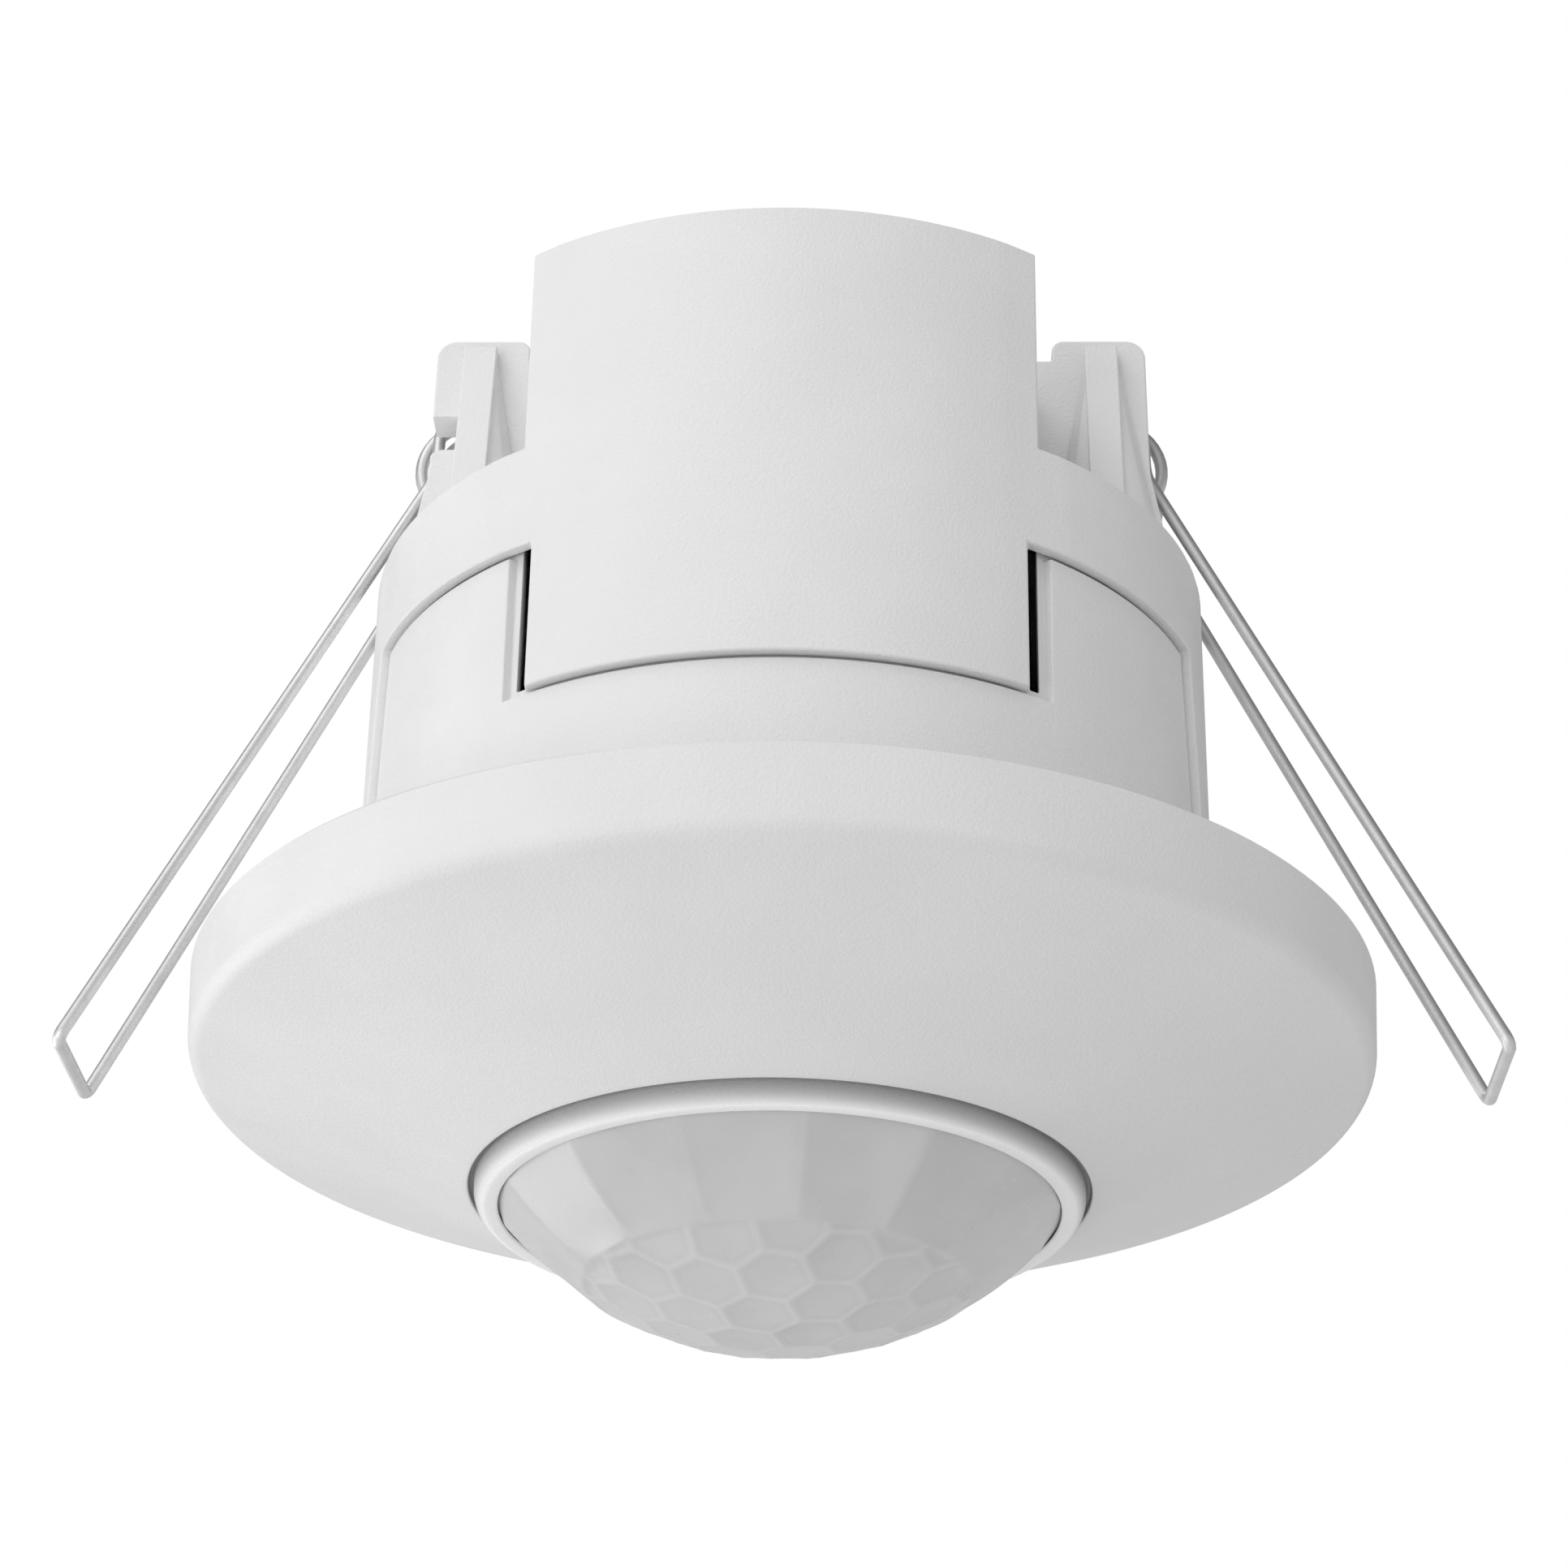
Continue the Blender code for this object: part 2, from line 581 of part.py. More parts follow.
def make_springs(steel, pin_finish):
    for name, side, turn in (("right", 1, 0.0), ("left", -1, pi)):
        pivot = (side * PIVOT_X, 0, PIVOT_Z)
        wire(name + "_clip_spring", bail_points(), steel, pivot, turn)
        wire(name + "_spring_tail", tail_points(), steel, pivot, turn)
        outline = [(0, -JOURNAL_REACH), (JOURNAL_R, -JOURNAL_REACH), (JOURNAL_R, -PIN_HALF_LENGTH),
                   (PIN_R, -PIN_HALF_LENGTH), (PIN_R, PIN_HALF_LENGTH), (JOURNAL_R, PIN_HALF_LENGTH),
                   (JOURNAL_R, JOURNAL_REACH), (0, JOURNAL_REACH)]
        turned(name + "_spring_pin", outline, pin_finish, pivot, SMALL_ROUND, "Y")


def block(name, spec, low, finish, chamfer=0.0):
    """A box-shaped part on a board, from its place in XY, its size and its lower face."""
    (x, y), (width, depth, height) = spec
    box(name, (x - width / 2, y - depth / 2, low), (x + width / 2, y + depth / 2, low + height), finish,
        chamfer)


def post(name, spec, low, finish, sides=SMALL_ROUND):
    """An upright round part on a board, from its place in XY, its radius and its height."""
    place, radius, height = spec
    cylinder(name, radius, low, low + height, finish, place, sides)


def make_optics(finishes):
    """The boards' front side: what looks out through the lens, and the two dials beside it."""
    front = SENSOR_BOARD_Z - GAP
    tube("lens_retainer", *RETAINER_R, *RETAINER_Z, finishes["white"], sides=48)
    can_face = front - CAN_HEIGHT
    brim = front - CAN_BRIM_THICK
    can = [(0, can_face), (CAN_R, can_face), (CAN_R, brim), (CAN_BRIM_R, brim), (CAN_BRIM_R, front),
           (0, front)]
    turned("pyro_sensor", can, finishes["can"])
    block("pyro_window", ((0, 0), WINDOW_SIZE), can_face - GAP - WINDOW_SIZE[2], finishes["window"])
    post("light_sensor", LIGHT_SENSOR, front - LIGHT_SENSOR[2], finishes["window"])
    dome_z = front - LED_STEM
    led = [(0, dome_z - LED_R)] + arc((0, dome_z), LED_R, -75, 0, 4) + [(LED_R, front), (0, front)]
    turned("status_led", led, finishes["green"], (*LED_XY, 0))
    slot_width, slot_length, slot_depth = DIAL_SLOT
    for name, place in zip(("time", "light"), dial_places()):
        cylinder(name + "_pot", POT_R, DIAL_Z[1] + GAP, front, finishes["blue"], place)
        dial = cylinder(name + "_dial", DIAL_R, *DIAL_Z, finishes["cream"], place, sides=24)
        slot = box("slot", (place[0] - slot_width / 2, place[1] - slot_length / 2, DIAL_Z[0] - 1),
                   (place[0] + slot_width / 2, place[1] + slot_length / 2, DIAL_Z[0] + slot_depth))
        cut(dial, slot)
    block("microcontroller", ((0, 0), CHIP_SIZE), PLATE_TOP + GAP, finishes["black"])


def screw(name, place, head_r, head_low, head_high, shank_r, shank_low, shank_high, finish):
    """A pan-head screw on an upright axis; its shank ends above or below its head."""
    if shank_high > head_high:
        outline = [(0, head_low), (head_r, head_low), (head_r, head_high), (shank_r, head_high),
                   (shank_r, shank_high), (0, shank_high)]
    else:
        outline = [(0, shank_low), (shank_r, shank_low), (shank_r, head_low), (head_r, head_low),
                   (head_r, head_high), (0, head_high)]
    turned(name, outline, finish, (place[0], place[1], 0), 16)


def make_boards(finishes):
    cylinder("sensor_board", SENSOR_BOARD_R, SENSOR_BOARD_Z, PLATE_TOP, finishes["board"], sides=48)
    top = POWER_BOARD_Z + BOARD_THICK
    power = cylinder("power_board", POWER_BOARD_R, POWER_BOARD_Z, top, finishes["board"], sides=48)
    spacer_low = PLATE_TOP + GAP
    spacer_high = POWER_BOARD_Z - GAP
    for number, place in enumerate(ring_places(SPACER_RING_R, (0, 90, 180)), 1):
        cut(power, cylinder("hole", 1.4, POWER_BOARD_Z - 1, top + 1, place=place, sides=12))
        tube("board_spacer_%d" % number, *SPACER_R, spacer_low, spacer_high, finishes["cream"], place, 16)
        screw("board_screw_%d" % number, place, 2.0, top + GAP, top + GAP + 1.5, 1.1, spacer_high - 6, 0,
              finishes["steel"])


def make_power_parts(finishes):
    """What stands on the power board: towards the cable box above it, and hung below it."""
    above = POWER_BOARD_Z + BOARD_THICK + GAP
    below = POWER_BOARD_Z - GAP
    block("relay", RELAY, above, finishes["black"], 0.5)
    block("film_capacitor", FILM_CAPACITOR, above, finishes["yellow"], 0.5)
    block("terminal_block", TERMINAL_BLOCK, above, finishes["grey"], 0.4)
    (block_x, block_y), (_, _, block_height) = TERMINAL_BLOCK
    for number in range(4):
        place = (block_x + TERMINAL_PITCH * (number - 1.5), block_y)
        post("terminal_screw_%d" % (number + 1), (place, *TERMINAL_SCREW), above + block_height + GAP,
             finishes["steel"], 16)
    (x, y), radius, thick = VARISTOR
    half = thick / 2
    disc = [(0, -half), (radius - 0.3, -half), (radius, 0.4 - half), (radius, half - 0.4),
            (radius - 0.3, half), (0, half)]
    turned("varistor", disc, finishes["blue"], (x, y, above + radius + 0.1), SMALL_ROUND, "X")
    post("fuse", FUSE, above, finishes["grey"])
    post("electrolytic_capacitor", ELECTROLYTIC, below - ELECTROLYTIC[2], finishes["black"], 24)
    post("choke", CHOKE, below - CHOKE[2], finishes["black"])
    block("bridge_rectifier", RECTIFIER, below - RECTIFIER[1][2], finishes["black"], 0.3)
    header_low = PLATE_TOP + GAP
    header_place, header_size = HEADER
    block("board_header", (header_place, (*header_size, below - header_low)), header_low, finishes["black"])


def make_fasteners(finishes):
    low = PLATE_TOP - PLATE_FLANGE_THICK - GAP
    for number, place in enumerate(front_screw_places(), 1):
        screw("front_screw_%d" % number, place, 2.3, low - 1.3, low, 1.2, 0, -0.5, finishes["steel"])
    deck = BAND_TOP + GAP
    for number, place in enumerate(cover_screw_places(), 1):
        screw("cover_screw_%d" % number, place, 2.2, deck, deck + 1.5, 1.1, deck - 9, 0, finishes["steel"])


def make_grommet(finish):
    inner_top = BOX_TOP - BOX_WALL - GAP
    outer_low = BOX_TOP + GAP
    neck = CABLE_HOLE_R - GAP
    outline = [(0, inner_top - 1.2), (6.2, inner_top - 1.2), (6.6, inner_top), (neck, inner_top),
               (neck, outer_low), (6.9, outer_low), (6.4, outer_low + 1.3), (3.4, outer_low + 1.3),
               (3.0, outer_low), (0, outer_low)]
    turned("cable_grommet", outline, finish, (0, CABLE_HOLE_Y, 0), 32)


def main():
    clear_scene()
    finishes = make_materials()
    make_trim(finishes["white"])
    make_lens(finishes["lens"])
    make_front_plate(finishes["white"])
    make_housing(finishes["white"])
    make_cover(finishes["white"])
    make_springs(finishes["steel"], finishes["white"])
    make_optics(finishes)
    make_boards(finishes)
    make_power_parts(finishes)
    make_fasteners(finishes)
    make_grommet(finishes["rubber"])


main()
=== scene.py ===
import json
from math import acos, asin, atan2, cos, degrees, hypot, pi, radians, sin, sqrt, tan

import bmesh
import bpy
from mathutils import Matrix, Vector
from mathutils.kdtree import KDTree


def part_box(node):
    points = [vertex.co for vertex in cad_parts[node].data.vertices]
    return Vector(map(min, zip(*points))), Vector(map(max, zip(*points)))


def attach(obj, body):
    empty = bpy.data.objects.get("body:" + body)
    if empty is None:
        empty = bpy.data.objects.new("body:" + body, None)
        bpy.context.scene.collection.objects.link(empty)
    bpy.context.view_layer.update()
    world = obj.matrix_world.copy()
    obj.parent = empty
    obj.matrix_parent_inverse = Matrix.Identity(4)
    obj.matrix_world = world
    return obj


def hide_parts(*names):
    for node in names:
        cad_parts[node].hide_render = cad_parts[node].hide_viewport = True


# The ceiling motion sensor's looks, built round its CAD model. Sizes are in millimetres in the row
# frame: the upright axis is Z, and Z is 0 at the ceiling's room face. MM turns them into metres.
MM = 0.001
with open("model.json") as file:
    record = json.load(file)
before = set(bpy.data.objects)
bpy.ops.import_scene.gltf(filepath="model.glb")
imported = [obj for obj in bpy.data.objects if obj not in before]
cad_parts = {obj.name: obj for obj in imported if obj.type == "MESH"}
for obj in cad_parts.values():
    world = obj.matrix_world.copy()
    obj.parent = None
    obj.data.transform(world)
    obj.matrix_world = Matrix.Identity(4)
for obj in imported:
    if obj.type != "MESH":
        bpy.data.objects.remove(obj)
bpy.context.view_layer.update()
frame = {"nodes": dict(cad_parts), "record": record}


def low(node):
    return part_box(node)[0] / MM


def high(node):
    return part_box(node)[1] / MM


# Trim plate
TRIM_R = high("trim_plate").x
TRIM_DRAFT = 0.25
TRIM_WALL = 1.9
RIM_HEIGHT = 5.2
RIM_FILLET = 1.5
RIM_FOOT_R = 0.9              # fillet that the cone's line is drawn from
CONE_SLOPE = 0.407
SHELF_INSET = 0.9             # the flat ring inside the rim
SHELF_DROP = 0.6
LENS_HOLE_R = 19.15
GROOVE_R = (20.32, 20.72)     # shadow groove round the bead
GROOVE_Z = -13.1
BEAD_CREST = (19.45, -14.9)
BEAD_LIP = (18.68, -14.74)    # the bead's inner lip, just under the lens's edge
BEAD_SIDE_Z = -13.7           # the bead is a quarter of an ellipse from here down to its crest
BEAD_STEPS = 14
# The finish's brightness at a radius, as painted light: a painted highlight makes the bead lighter and
# painted shade makes the groove darker than the face.
BEAD_HIGHLIGHT_AND_GROOVE_SHADE = [(18.7, 1.2), (19.7, 1.22), (20.0, 0.95), (20.3, 0.54), (20.45, 0.38), (20.68, 0.4),
                (20.75, 1.0)]
PAINTED_TONES_SPAN = (18.7, 21.2)     # radii where the painted highlight and painted shade begin and end

# Lens
DOME_R = 24.29
DOME_CENTRE_Z = low("fresnel_lens").z + DOME_R
LENS_R = 18.85
LENS_WALL = 0.8
LENS_SHOULDER_Z = -14.3
LENS_FLANGE_R = high("fresnel_lens").x
LENS_TOP = high("fresnel_lens").z
LENS_FLANGE_Z = LENS_TOP - 0.9
CELL = 4.65                   # honeycomb pitch of the lens
CELL_TURN = radians(-16)
CELL_ZONE = 13.6              # the honeycomb ends here, measured along the dome
CELL_FLAT = 0.22              # how far a cell's middle lies below its creases
SECTORS = 14                  # larger facets round the honeycomb
SECTOR_FLAT = 0.3
CREASE_HALF = 0.3             # half the width of a crease's painted highlight line
CREASE_SHADE = 0.6            # the painted shade line beside it, and how far from the crease it lies
CREASE_SHADE_AT = 0.5
LENS_RINGS = 96
LENS_SIDES = 288

# Housing
FLANGE_R = high("housing").x
FLANGE_THICK = -low("housing").z
DRUM_R = 28.15
DRUM_WALL = 1.95
DRUM_TOP = high("housing").z
SLIT_X = (16.2, 16.8)
SLIT_DEPTH_Y = 19.4
SLIT_BOTTOM = 12.5
PANEL_R = 28.8
PANEL_TOP = 22.38
PANEL_STEP = 11.7
PANEL_CHAMFER = (16.8, 21.9)
PANEL_ROOT = 0.8              # how deep panels reach into the drum's wall
PANEL_ANGLES = (12, 52)       # a panel's stretch of the drum, in whole degrees
SKIRT_GAP = 0.25
BOSS_R = 2.8
BOSS_BOTTOM = 17.0
SCREW_HOLE_R = 1.4
SCREW_HOLE_BOTTOM = 19.0

# Rear cover
COVER_R = high("rear_cover").x
COVER_WALL = 0.91
COVER_LOW = low("rear_cover").z
BAND_BOTTOM = 22.68
BAND_TOP = 30.17
DECK_UNDERSIDE = DRUM_TOP + 0.3
BOX_TOP = 45.6
BOX_HALF_WIDTH = 17.0
BOX_WALL = 1.5
TAB_HALF_WIDTH = 16.15
TAB_BOTTOM = 11.95
SKIRT_HALF_WIDTH = (6.7, 9.5)
CABLE_HOLE_Y = 10.0
CABLE_HOLE_R = 5.2
COVER_SCREWS = [(19.8, 15.6), (-19.8, -15.6)]

# Spring brackets, as the right-hand one stands
EAR_X = (18.85, 25.55)
EAR_Y = (4.4, 7.2)
EAR_TOP = high("rear_cover").z
EAR_CORNER = 1.4
EAR_FOOT = 29.2
WEB_TOP = 47.95
RIB_TOP = 48.6
RIB_X = (21.15, 23.5)
RIB_PROUD = (1.0, 5.2)
CONE_X = 22.35
CONE_RADII = (4.4, 1.15)
CONE_TOP = 48.2
SLOT_Z = (40.15, 43.2)
SLOT_CHAMFER = 0.25
SLOT_START = 1.2              # the slot begins this far inside the pivot
HOLE_Y = (3.0, 0.3)           # where a journal's hole starts, and its length beyond the journal
JOURNAL_GAP = 0.3

# Springs
WIRE_R = 0.45
PIVOT_X = 22.5
PIVOT_Z = 41.5
COIL_R = 4.35
COIL_TURNS = 1.75
COIL_Y = (1.4, 3.3)
COIL_END_ANGLE = radians(60)
LEG_ANGLE = radians(26.85)
LEG_OFFSET = 2.29
LEG_START_Y = 3.5
LEG_START = 3.0
LEG_END = 52.6
LEG_END_Y = 5.0
BAIL_CORNER = 0.7
TAIL_Y = 1.4
TAIL_TOP = (19.6, 36.2)
TAIL_FOOT = (18.3, 31.0)
PIN_R = 3.3
PIN_HALF_LENGTH = 2.6
JOURNAL_R = 1.05
JOURNAL_REACH = 6.2

SCREW_PITCH = 0.8
CROSS_HALF_WIDTH = 0.27
CROSS_DEPTH = 0.9
DIAL_SLOT = (1.0, 4.4, 1.0)   # width, length and depth
DIAL_FLUTES = 24
DIAL_FLUTE_DEPTH = 0.14
DIAL_SIDES = 240
ROUND = 180                   # sides of the large turned pieces
FAR = 60.0

WHITE = ((0.757, 0.757, 0.76), (0.777, 0.777, 0.779))

# Camera, floor and light
CAMERA_TARGET = Vector((-0.18, 0.0, 17.34))
CAMERA_DISTANCE = 265.26
CAMERA_AZIMUTH = radians(1.795)
CAMERA_ELEVATION = radians(-26.907)
CAMERA_ROLL = radians(0.95)
CAMERA_LENS = 86.73
SENSOR_WIDTH = 36
CLIP_RANGE = (0.01, 20)       # metres, as are the four below
FLOOR_Z = -1.2
FLOOR_SIZE = 24.0
LIGHT_DISTANCE = 1.2
LIGHT_SIZE = 0.9
LIGHTS = [("key", -35, 50, 4.9), ("side_fill", -110, -20, 5.2), ("low_fill", -35, -20, 4.2)]
ROOM_LIGHT = 0.635
SHINE = (0.85, 0.12)          # the room in reflections: its strength low down and high up
SHINE_SPAN = (-0.15, 0.55)


# ------------------------------------------------------------------ shapes

def bake(item):
    """Apply an object's modifiers to its mesh."""
    graph = bpy.context.evaluated_depsgraph_get()
    baked = bpy.data.meshes.new_from_object(item.evaluated_get(graph))
    spent = item.data
    item.modifiers.clear()
    item.data = baked
    bpy.data.meshes.remove(spent)
    return item


def solid(bm, place=(0, 0, 0)):
    """A working object in millimetres from a bmesh."""
    bmesh.ops.remove_doubles(bm, verts=bm.verts, dist=0.0005)
    bmesh.ops.recalc_face_normals(bm, faces=bm.faces)
    bmesh.ops.translate(bm, verts=bm.verts, vec=place)
    mesh = bpy.data.meshes.new("work")
    bm.to_mesh(mesh)
    bm.free()
    made = bpy.data.objects.new("work", mesh)
    bpy.context.scene.collection.objects.link(made)
    return made


def combine(body, operation, *tools):
    """Cut tools out of a body, or join them on, and remove the tools."""
    for tool in tools:
        step = body.modifiers.new("shape", "BOOLEAN")
        step.operation = operation
        step.solver = "EXACT"
        step.object = tool
    bake(body)
    for tool in tools:
        bpy.data.objects.remove(tool)
    return body


def cut(body, *tools):
    return combine(body, "DIFFERENCE", *tools)


def join(body, *tools):
    return combine(body, "UNION", *tools)


def rounded(item, width, segments=2, angle=35):
    """Round every edge that is sharper than the angle."""
    bm = bmesh.new()
    bm.from_mesh(item.data)
    bmesh.ops.remove_doubles(bm, verts=bm.verts, dist=0.004)
    bmesh.ops.dissolve_limit(bm, angle_limit=radians(0.3), verts=bm.verts, edges=bm.edges)
    bm.to_mesh(item.data)
    bm.free()
    step = item.modifiers.new("round", "BEVEL")
    step.width = width
    step.segments = segments
    step.limit_method = "ANGLE"
    step.angle_limit = radians(angle)
    step.use_clamp_overlap = False
    return bake(item)


def turn_half_round(item):
    """Carry a working object to the other side of the upright axis."""
    item.data.transform(Matrix.Rotation(pi, 4, "Z"))
    return item


def arc(centre, radius, start, end, steps):
    """Points on a circle's stretch, from one angle to another in degrees."""
    angles = [radians(start + (end - start) * i / steps) for i in range(steps + 1)]
    return [(centre[0] + radius * cos(a), centre[1] + radius * sin(a)) for a in angles]


def softened(points, steps=4, closed=True):
    """Round the corners of an outline. A point is (a, b), or (a, b, radius) where it is rounded."""
    made = []
    count = len(points)
    for i, point in enumerate(points):
        here = Vector(point[:2])
        radius = point[2] if len(point) > 2 else 0
        if not radius or (not closed and i in (0, count - 1)):
            made.append(tuple(here))
            continue
        before = Vector(points[i - 1][:2]) - here
        after = Vector(points[(i + 1) % count][:2]) - here
        limit = 0.49 * min(before.length, after.length)
        before.normalize()
        after.normalize()
        half = before.angle(after) / 2
        reach = min(radius / tan(half), limit)
        radius = reach * tan(half)
        centre = here + (before + after).normalized() * radius / sin(half)
        first = here + before * reach - centre
        last = here + after * reach - centre
        start = atan2(first.y, first.x)
        sweep = atan2(last.y, last.x) - start
        sweep = (sweep + pi) % (2 * pi) - pi
        for step in range(steps + 1):
            angle = start + sweep * step / steps
            made.append((centre.x + radius * cos(angle), centre.y + radius * sin(angle)))
    return made


AXES = {"Z": Matrix(), "Y": Matrix.Rotation(pi / 2, 4, "X")}


def turned(outline, sides=ROUND, place=(0, 0, 0), axis="Z", angles=None):
    """A solid of revolution. Its outline of (radius, height) points closes on itself or at the axis."""
    bm = bmesh.new()
    angles = angles or [2 * pi * i / sides for i in range(sides)]
    rings = []
    for radius, height in outline:
        if radius < 1e-6:
            rings.append([bm.verts.new((0, 0, height))])
        else:
            rings.append([bm.verts.new((radius * cos(a), radius * sin(a), height)) for a in angles])
    pairs = list(zip(rings, rings[1:]))
    if len(rings[0]) > 1 and len(rings[-1]) > 1:
        pairs.append((rings[-1], rings[0]))
    for one, two in pairs:
        for i in range(len(angles)):
            j = (i + 1) % len(angles)
            corners = [one[i % len(one)], one[j % len(one)], two[j % len(two)], two[i % len(two)]]
            corners = list(dict.fromkeys(corners))
            if len(corners) > 2:
                bm.faces.new(corners)
    bmesh.ops.transform(bm, matrix=AXES[axis], verts=bm.verts)
    return solid(bm, place)


def clear_angles(sides, crossings):
    """Angles round a circle that leave room for edges where upright planes cross it."""
    made = []
    for i in range(sides):
        angle = 360 * (i + 0.5) / sides
        if all(abs((angle - crossing + 180) % 360 - 180) > 0.55 for crossing in crossings):
            made.append(radians(angle))
    return made


def cylinder(radius, bottom, top, place=(0, 0), sides=48, angles=None):
    bm = bmesh.new()
    angles = angles or [2 * pi * i / sides for i in range(sides)]
    rings = [[bm.verts.new((radius * cos(a), radius * sin(a), z)) for a in angles]
             for z in (bottom, top)]
    bm.faces.new(rings[0][::-1])
    bm.faces.new(rings[1])
    for i in range(len(angles)):
        j = (i + 1) % len(angles)
        bm.faces.new((rings[0][i], rings[0][j], rings[1][j], rings[1][i]))
    return solid(bm, (*place, 0))


def box(lowest, highest):
    bm = bmesh.new()
    bmesh.ops.create_cube(bm, size=1)
    bmesh.ops.scale(bm, verts=bm.verts, vec=[b - a for a, b in zip(lowest, highest)])
    return solid(bm, [(a + b) / 2 for a, b in zip(lowest, highest)])


def prism(outline, start, end, plane="XY"):
    """Extrude a flat outline: an XY outline along Z, an XZ one along Y, or a YZ one along X."""
    order = {"XY": lambda a, b, c: (a, b, c), "XZ": lambda a, b, c: (a, c, b),
             "YZ": lambda a, b, c: (c, a, b)}[plane]
    bm = bmesh.new()
    face = bm.faces.new([bm.verts.new(order(a, b, start)) for a, b in outline])
    grown = bmesh.ops.extrude_face_region(bm, geom=[face])
    moved = [item for item in grown["geom"] if isinstance(item, bmesh.types.BMVert)]
    bmesh.ops.translate(bm, verts=moved, vec=order(0, 0, end - start))
    return solid(bm)


def wire(points, radius=WIRE_R, sides=16):
    """A round wire with capped ends along a smooth row of points."""
    bm = bmesh.new()
    points = [Vector(p) for p in points]
    across = None
    rings = []
    for i, point in enumerate(points):
        along = (points[min(i + 1, len(points) - 1)] - points[max(i - 1, 0)]).normalized()
        if across is None:
            across = along.orthogonal().normalized()
        across = (across - along * across.dot(along)).normalized()
        other = along.cross(across)
        rings.append([bm.verts.new(point + radius * (across * cos(2 * pi * k / sides)
                                                     + other * sin(2 * pi * k / sides)))
                      for k in range(sides)])
    for one, two in zip(rings, rings[1:]):
        for i in range(sides):
            j = (i + 1) % sides
            bm.faces.new((one[i], one[j], two[j], two[i]))
    bm.faces.new(rings[0][::-1])
    bm.faces.new(rings[-1])
    return solid(bm)


# ------------------------------------------------------------------ finishes

def node_tree(name):
    made = bpy.data.materials.new(name)
    made.use_nodes = True
    return made, made.node_tree.nodes, made.node_tree.links


def noise(nodes, links, size_mm, detail=3.0, rough=0.55):
    """A noise texture whose features are about size_mm across, fixed to the object."""
    place = nodes.new("ShaderNodeTexCoord")
    made = nodes.new("ShaderNodeTexNoise")
    made.inputs["Scale"].default_value = 1 / (size_mm * MM)
    made.inputs["Detail"].default_value = detail
    made.inputs["Roughness"].default_value = rough
    links.new(place.outputs["Object"], made.inputs["Vector"])
    return made


def between(nodes, links, source, low_value, high_value, from_low=0.35, from_high=0.65):
    """The source's values, spread between two numbers."""
    made = nodes.new("ShaderNodeMapRange")
    for socket, value in (("From Min", from_low), ("From Max", from_high), ("To Min", low_value),
                          ("To Max", high_value)):
        made.inputs[socket].default_value = value
    links.new(source, made.inputs["Value"])
    return made.outputs["Result"]


def tinted(nodes, links, source, dark, light, from_low=0.35, from_high=0.65):
    """A colour that runs from dark to light with the source."""
    made = nodes.new("ShaderNodeValToRGB")
    ramp = made.color_ramp
    ramp.elements[0].position = from_low
    ramp.elements[1].position = from_high
    ramp.elements[0].color = (*dark, 1)
    ramp.elements[1].color = (*light, 1)
    links.new(source, made.inputs["Fac"])
    return made.outputs["Color"]


def off_axis(nodes, links):
    """Distance from the object's upright axis, in metres."""
    place = nodes.new("ShaderNodeTexCoord")
    flat = nodes.new("ShaderNodeVectorMath")
    flat.operation = "MULTIPLY"
    flat.inputs[1].default_value = (1, 1, 0)
    links.new(place.outputs["Object"], flat.inputs[0])
    reach = nodes.new("ShaderNodeVectorMath")
    reach.operation = "LENGTH"
    links.new(flat.outputs["Vector"], reach.inputs[0])
    return reach.outputs["Value"]


def bump(nodes, links, height, depth_mm, shader):
    made = nodes.new("ShaderNodeBump")
    made.inputs["Strength"].default_value = 1.0
    made.inputs["Distance"].default_value = depth_mm * MM
    links.new(height, made.inputs["Height"])
    links.new(made.outputs["Normal"], shader.inputs["Normal"])


def plastic(name, dark, light, roughness=(0.42, 0.52), grain_mm=0.22, grain_depth=0.045, tone_mm=9.0):
    """A spark-grained moulding: fine bump, and a tone and gloss that drift a little over it."""
    made, nodes, links = node_tree(name)
    shader = nodes["Principled BSDF"]
    tone = noise(nodes, links, tone_mm)
    links.new(tinted(nodes, links, tone.outputs["Fac"], dark, light), shader.inputs["Base Color"])
    links.new(between(nodes, links, tone.outputs["Fac"], *roughness), shader.inputs["Roughness"])
    grain = noise(nodes, links, grain_mm, 2.0)
    bump(nodes, links, grain.outputs["Fac"], grain_depth, shader)
    return made


def trim_finish_with_painted_light():
    """The white moulding, with painted light: a painted highlight on the bead round the lens and painted
    shade in the groove beside it.
    """
    made = plastic("white_trim", *WHITE)
    nodes, links = made.node_tree.nodes, made.node_tree.links
    shader = nodes["Principled BSDF"]
    tone = shader.inputs["Base Color"].links[0].from_socket
    first, last = PAINTED_TONES_SPAN
    # Painted light by radius: a painted highlight on the bead and painted shade in the groove.
    painted_light_ramp = nodes.new("ShaderNodeValToRGB")
    for held, value in zip(painted_light_ramp.color_ramp.elements, (BEAD_HIGHLIGHT_AND_GROOVE_SHADE[0], BEAD_HIGHLIGHT_AND_GROOVE_SHADE[-1])):
        held.position = (value[0] - first) / (last - first)
        held.color = (value[1], value[1], value[1], 1)
    for radius, value in BEAD_HIGHLIGHT_AND_GROOVE_SHADE[1:-1]:
        held = painted_light_ramp.color_ramp.elements.new((radius - first) / (last - first))
        held.color = (value, value, value, 1)
    share = between(nodes, links, off_axis(nodes, links), 0.0, 1.0, first * MM, last * MM)
    links.new(share, painted_light_ramp.inputs["Fac"])
    mix = nodes.new("ShaderNodeMix")
    mix.data_type = "RGBA"
    mix.blend_type = "MULTIPLY"
    mix.inputs["Factor"].default_value = 1.0
    links.new(tone, mix.inputs["A"])
    links.new(painted_light_ramp.outputs["Color"], mix.inputs["B"])
    links.new(mix.outputs["Result"], shader.inputs["Base Color"])
    return made


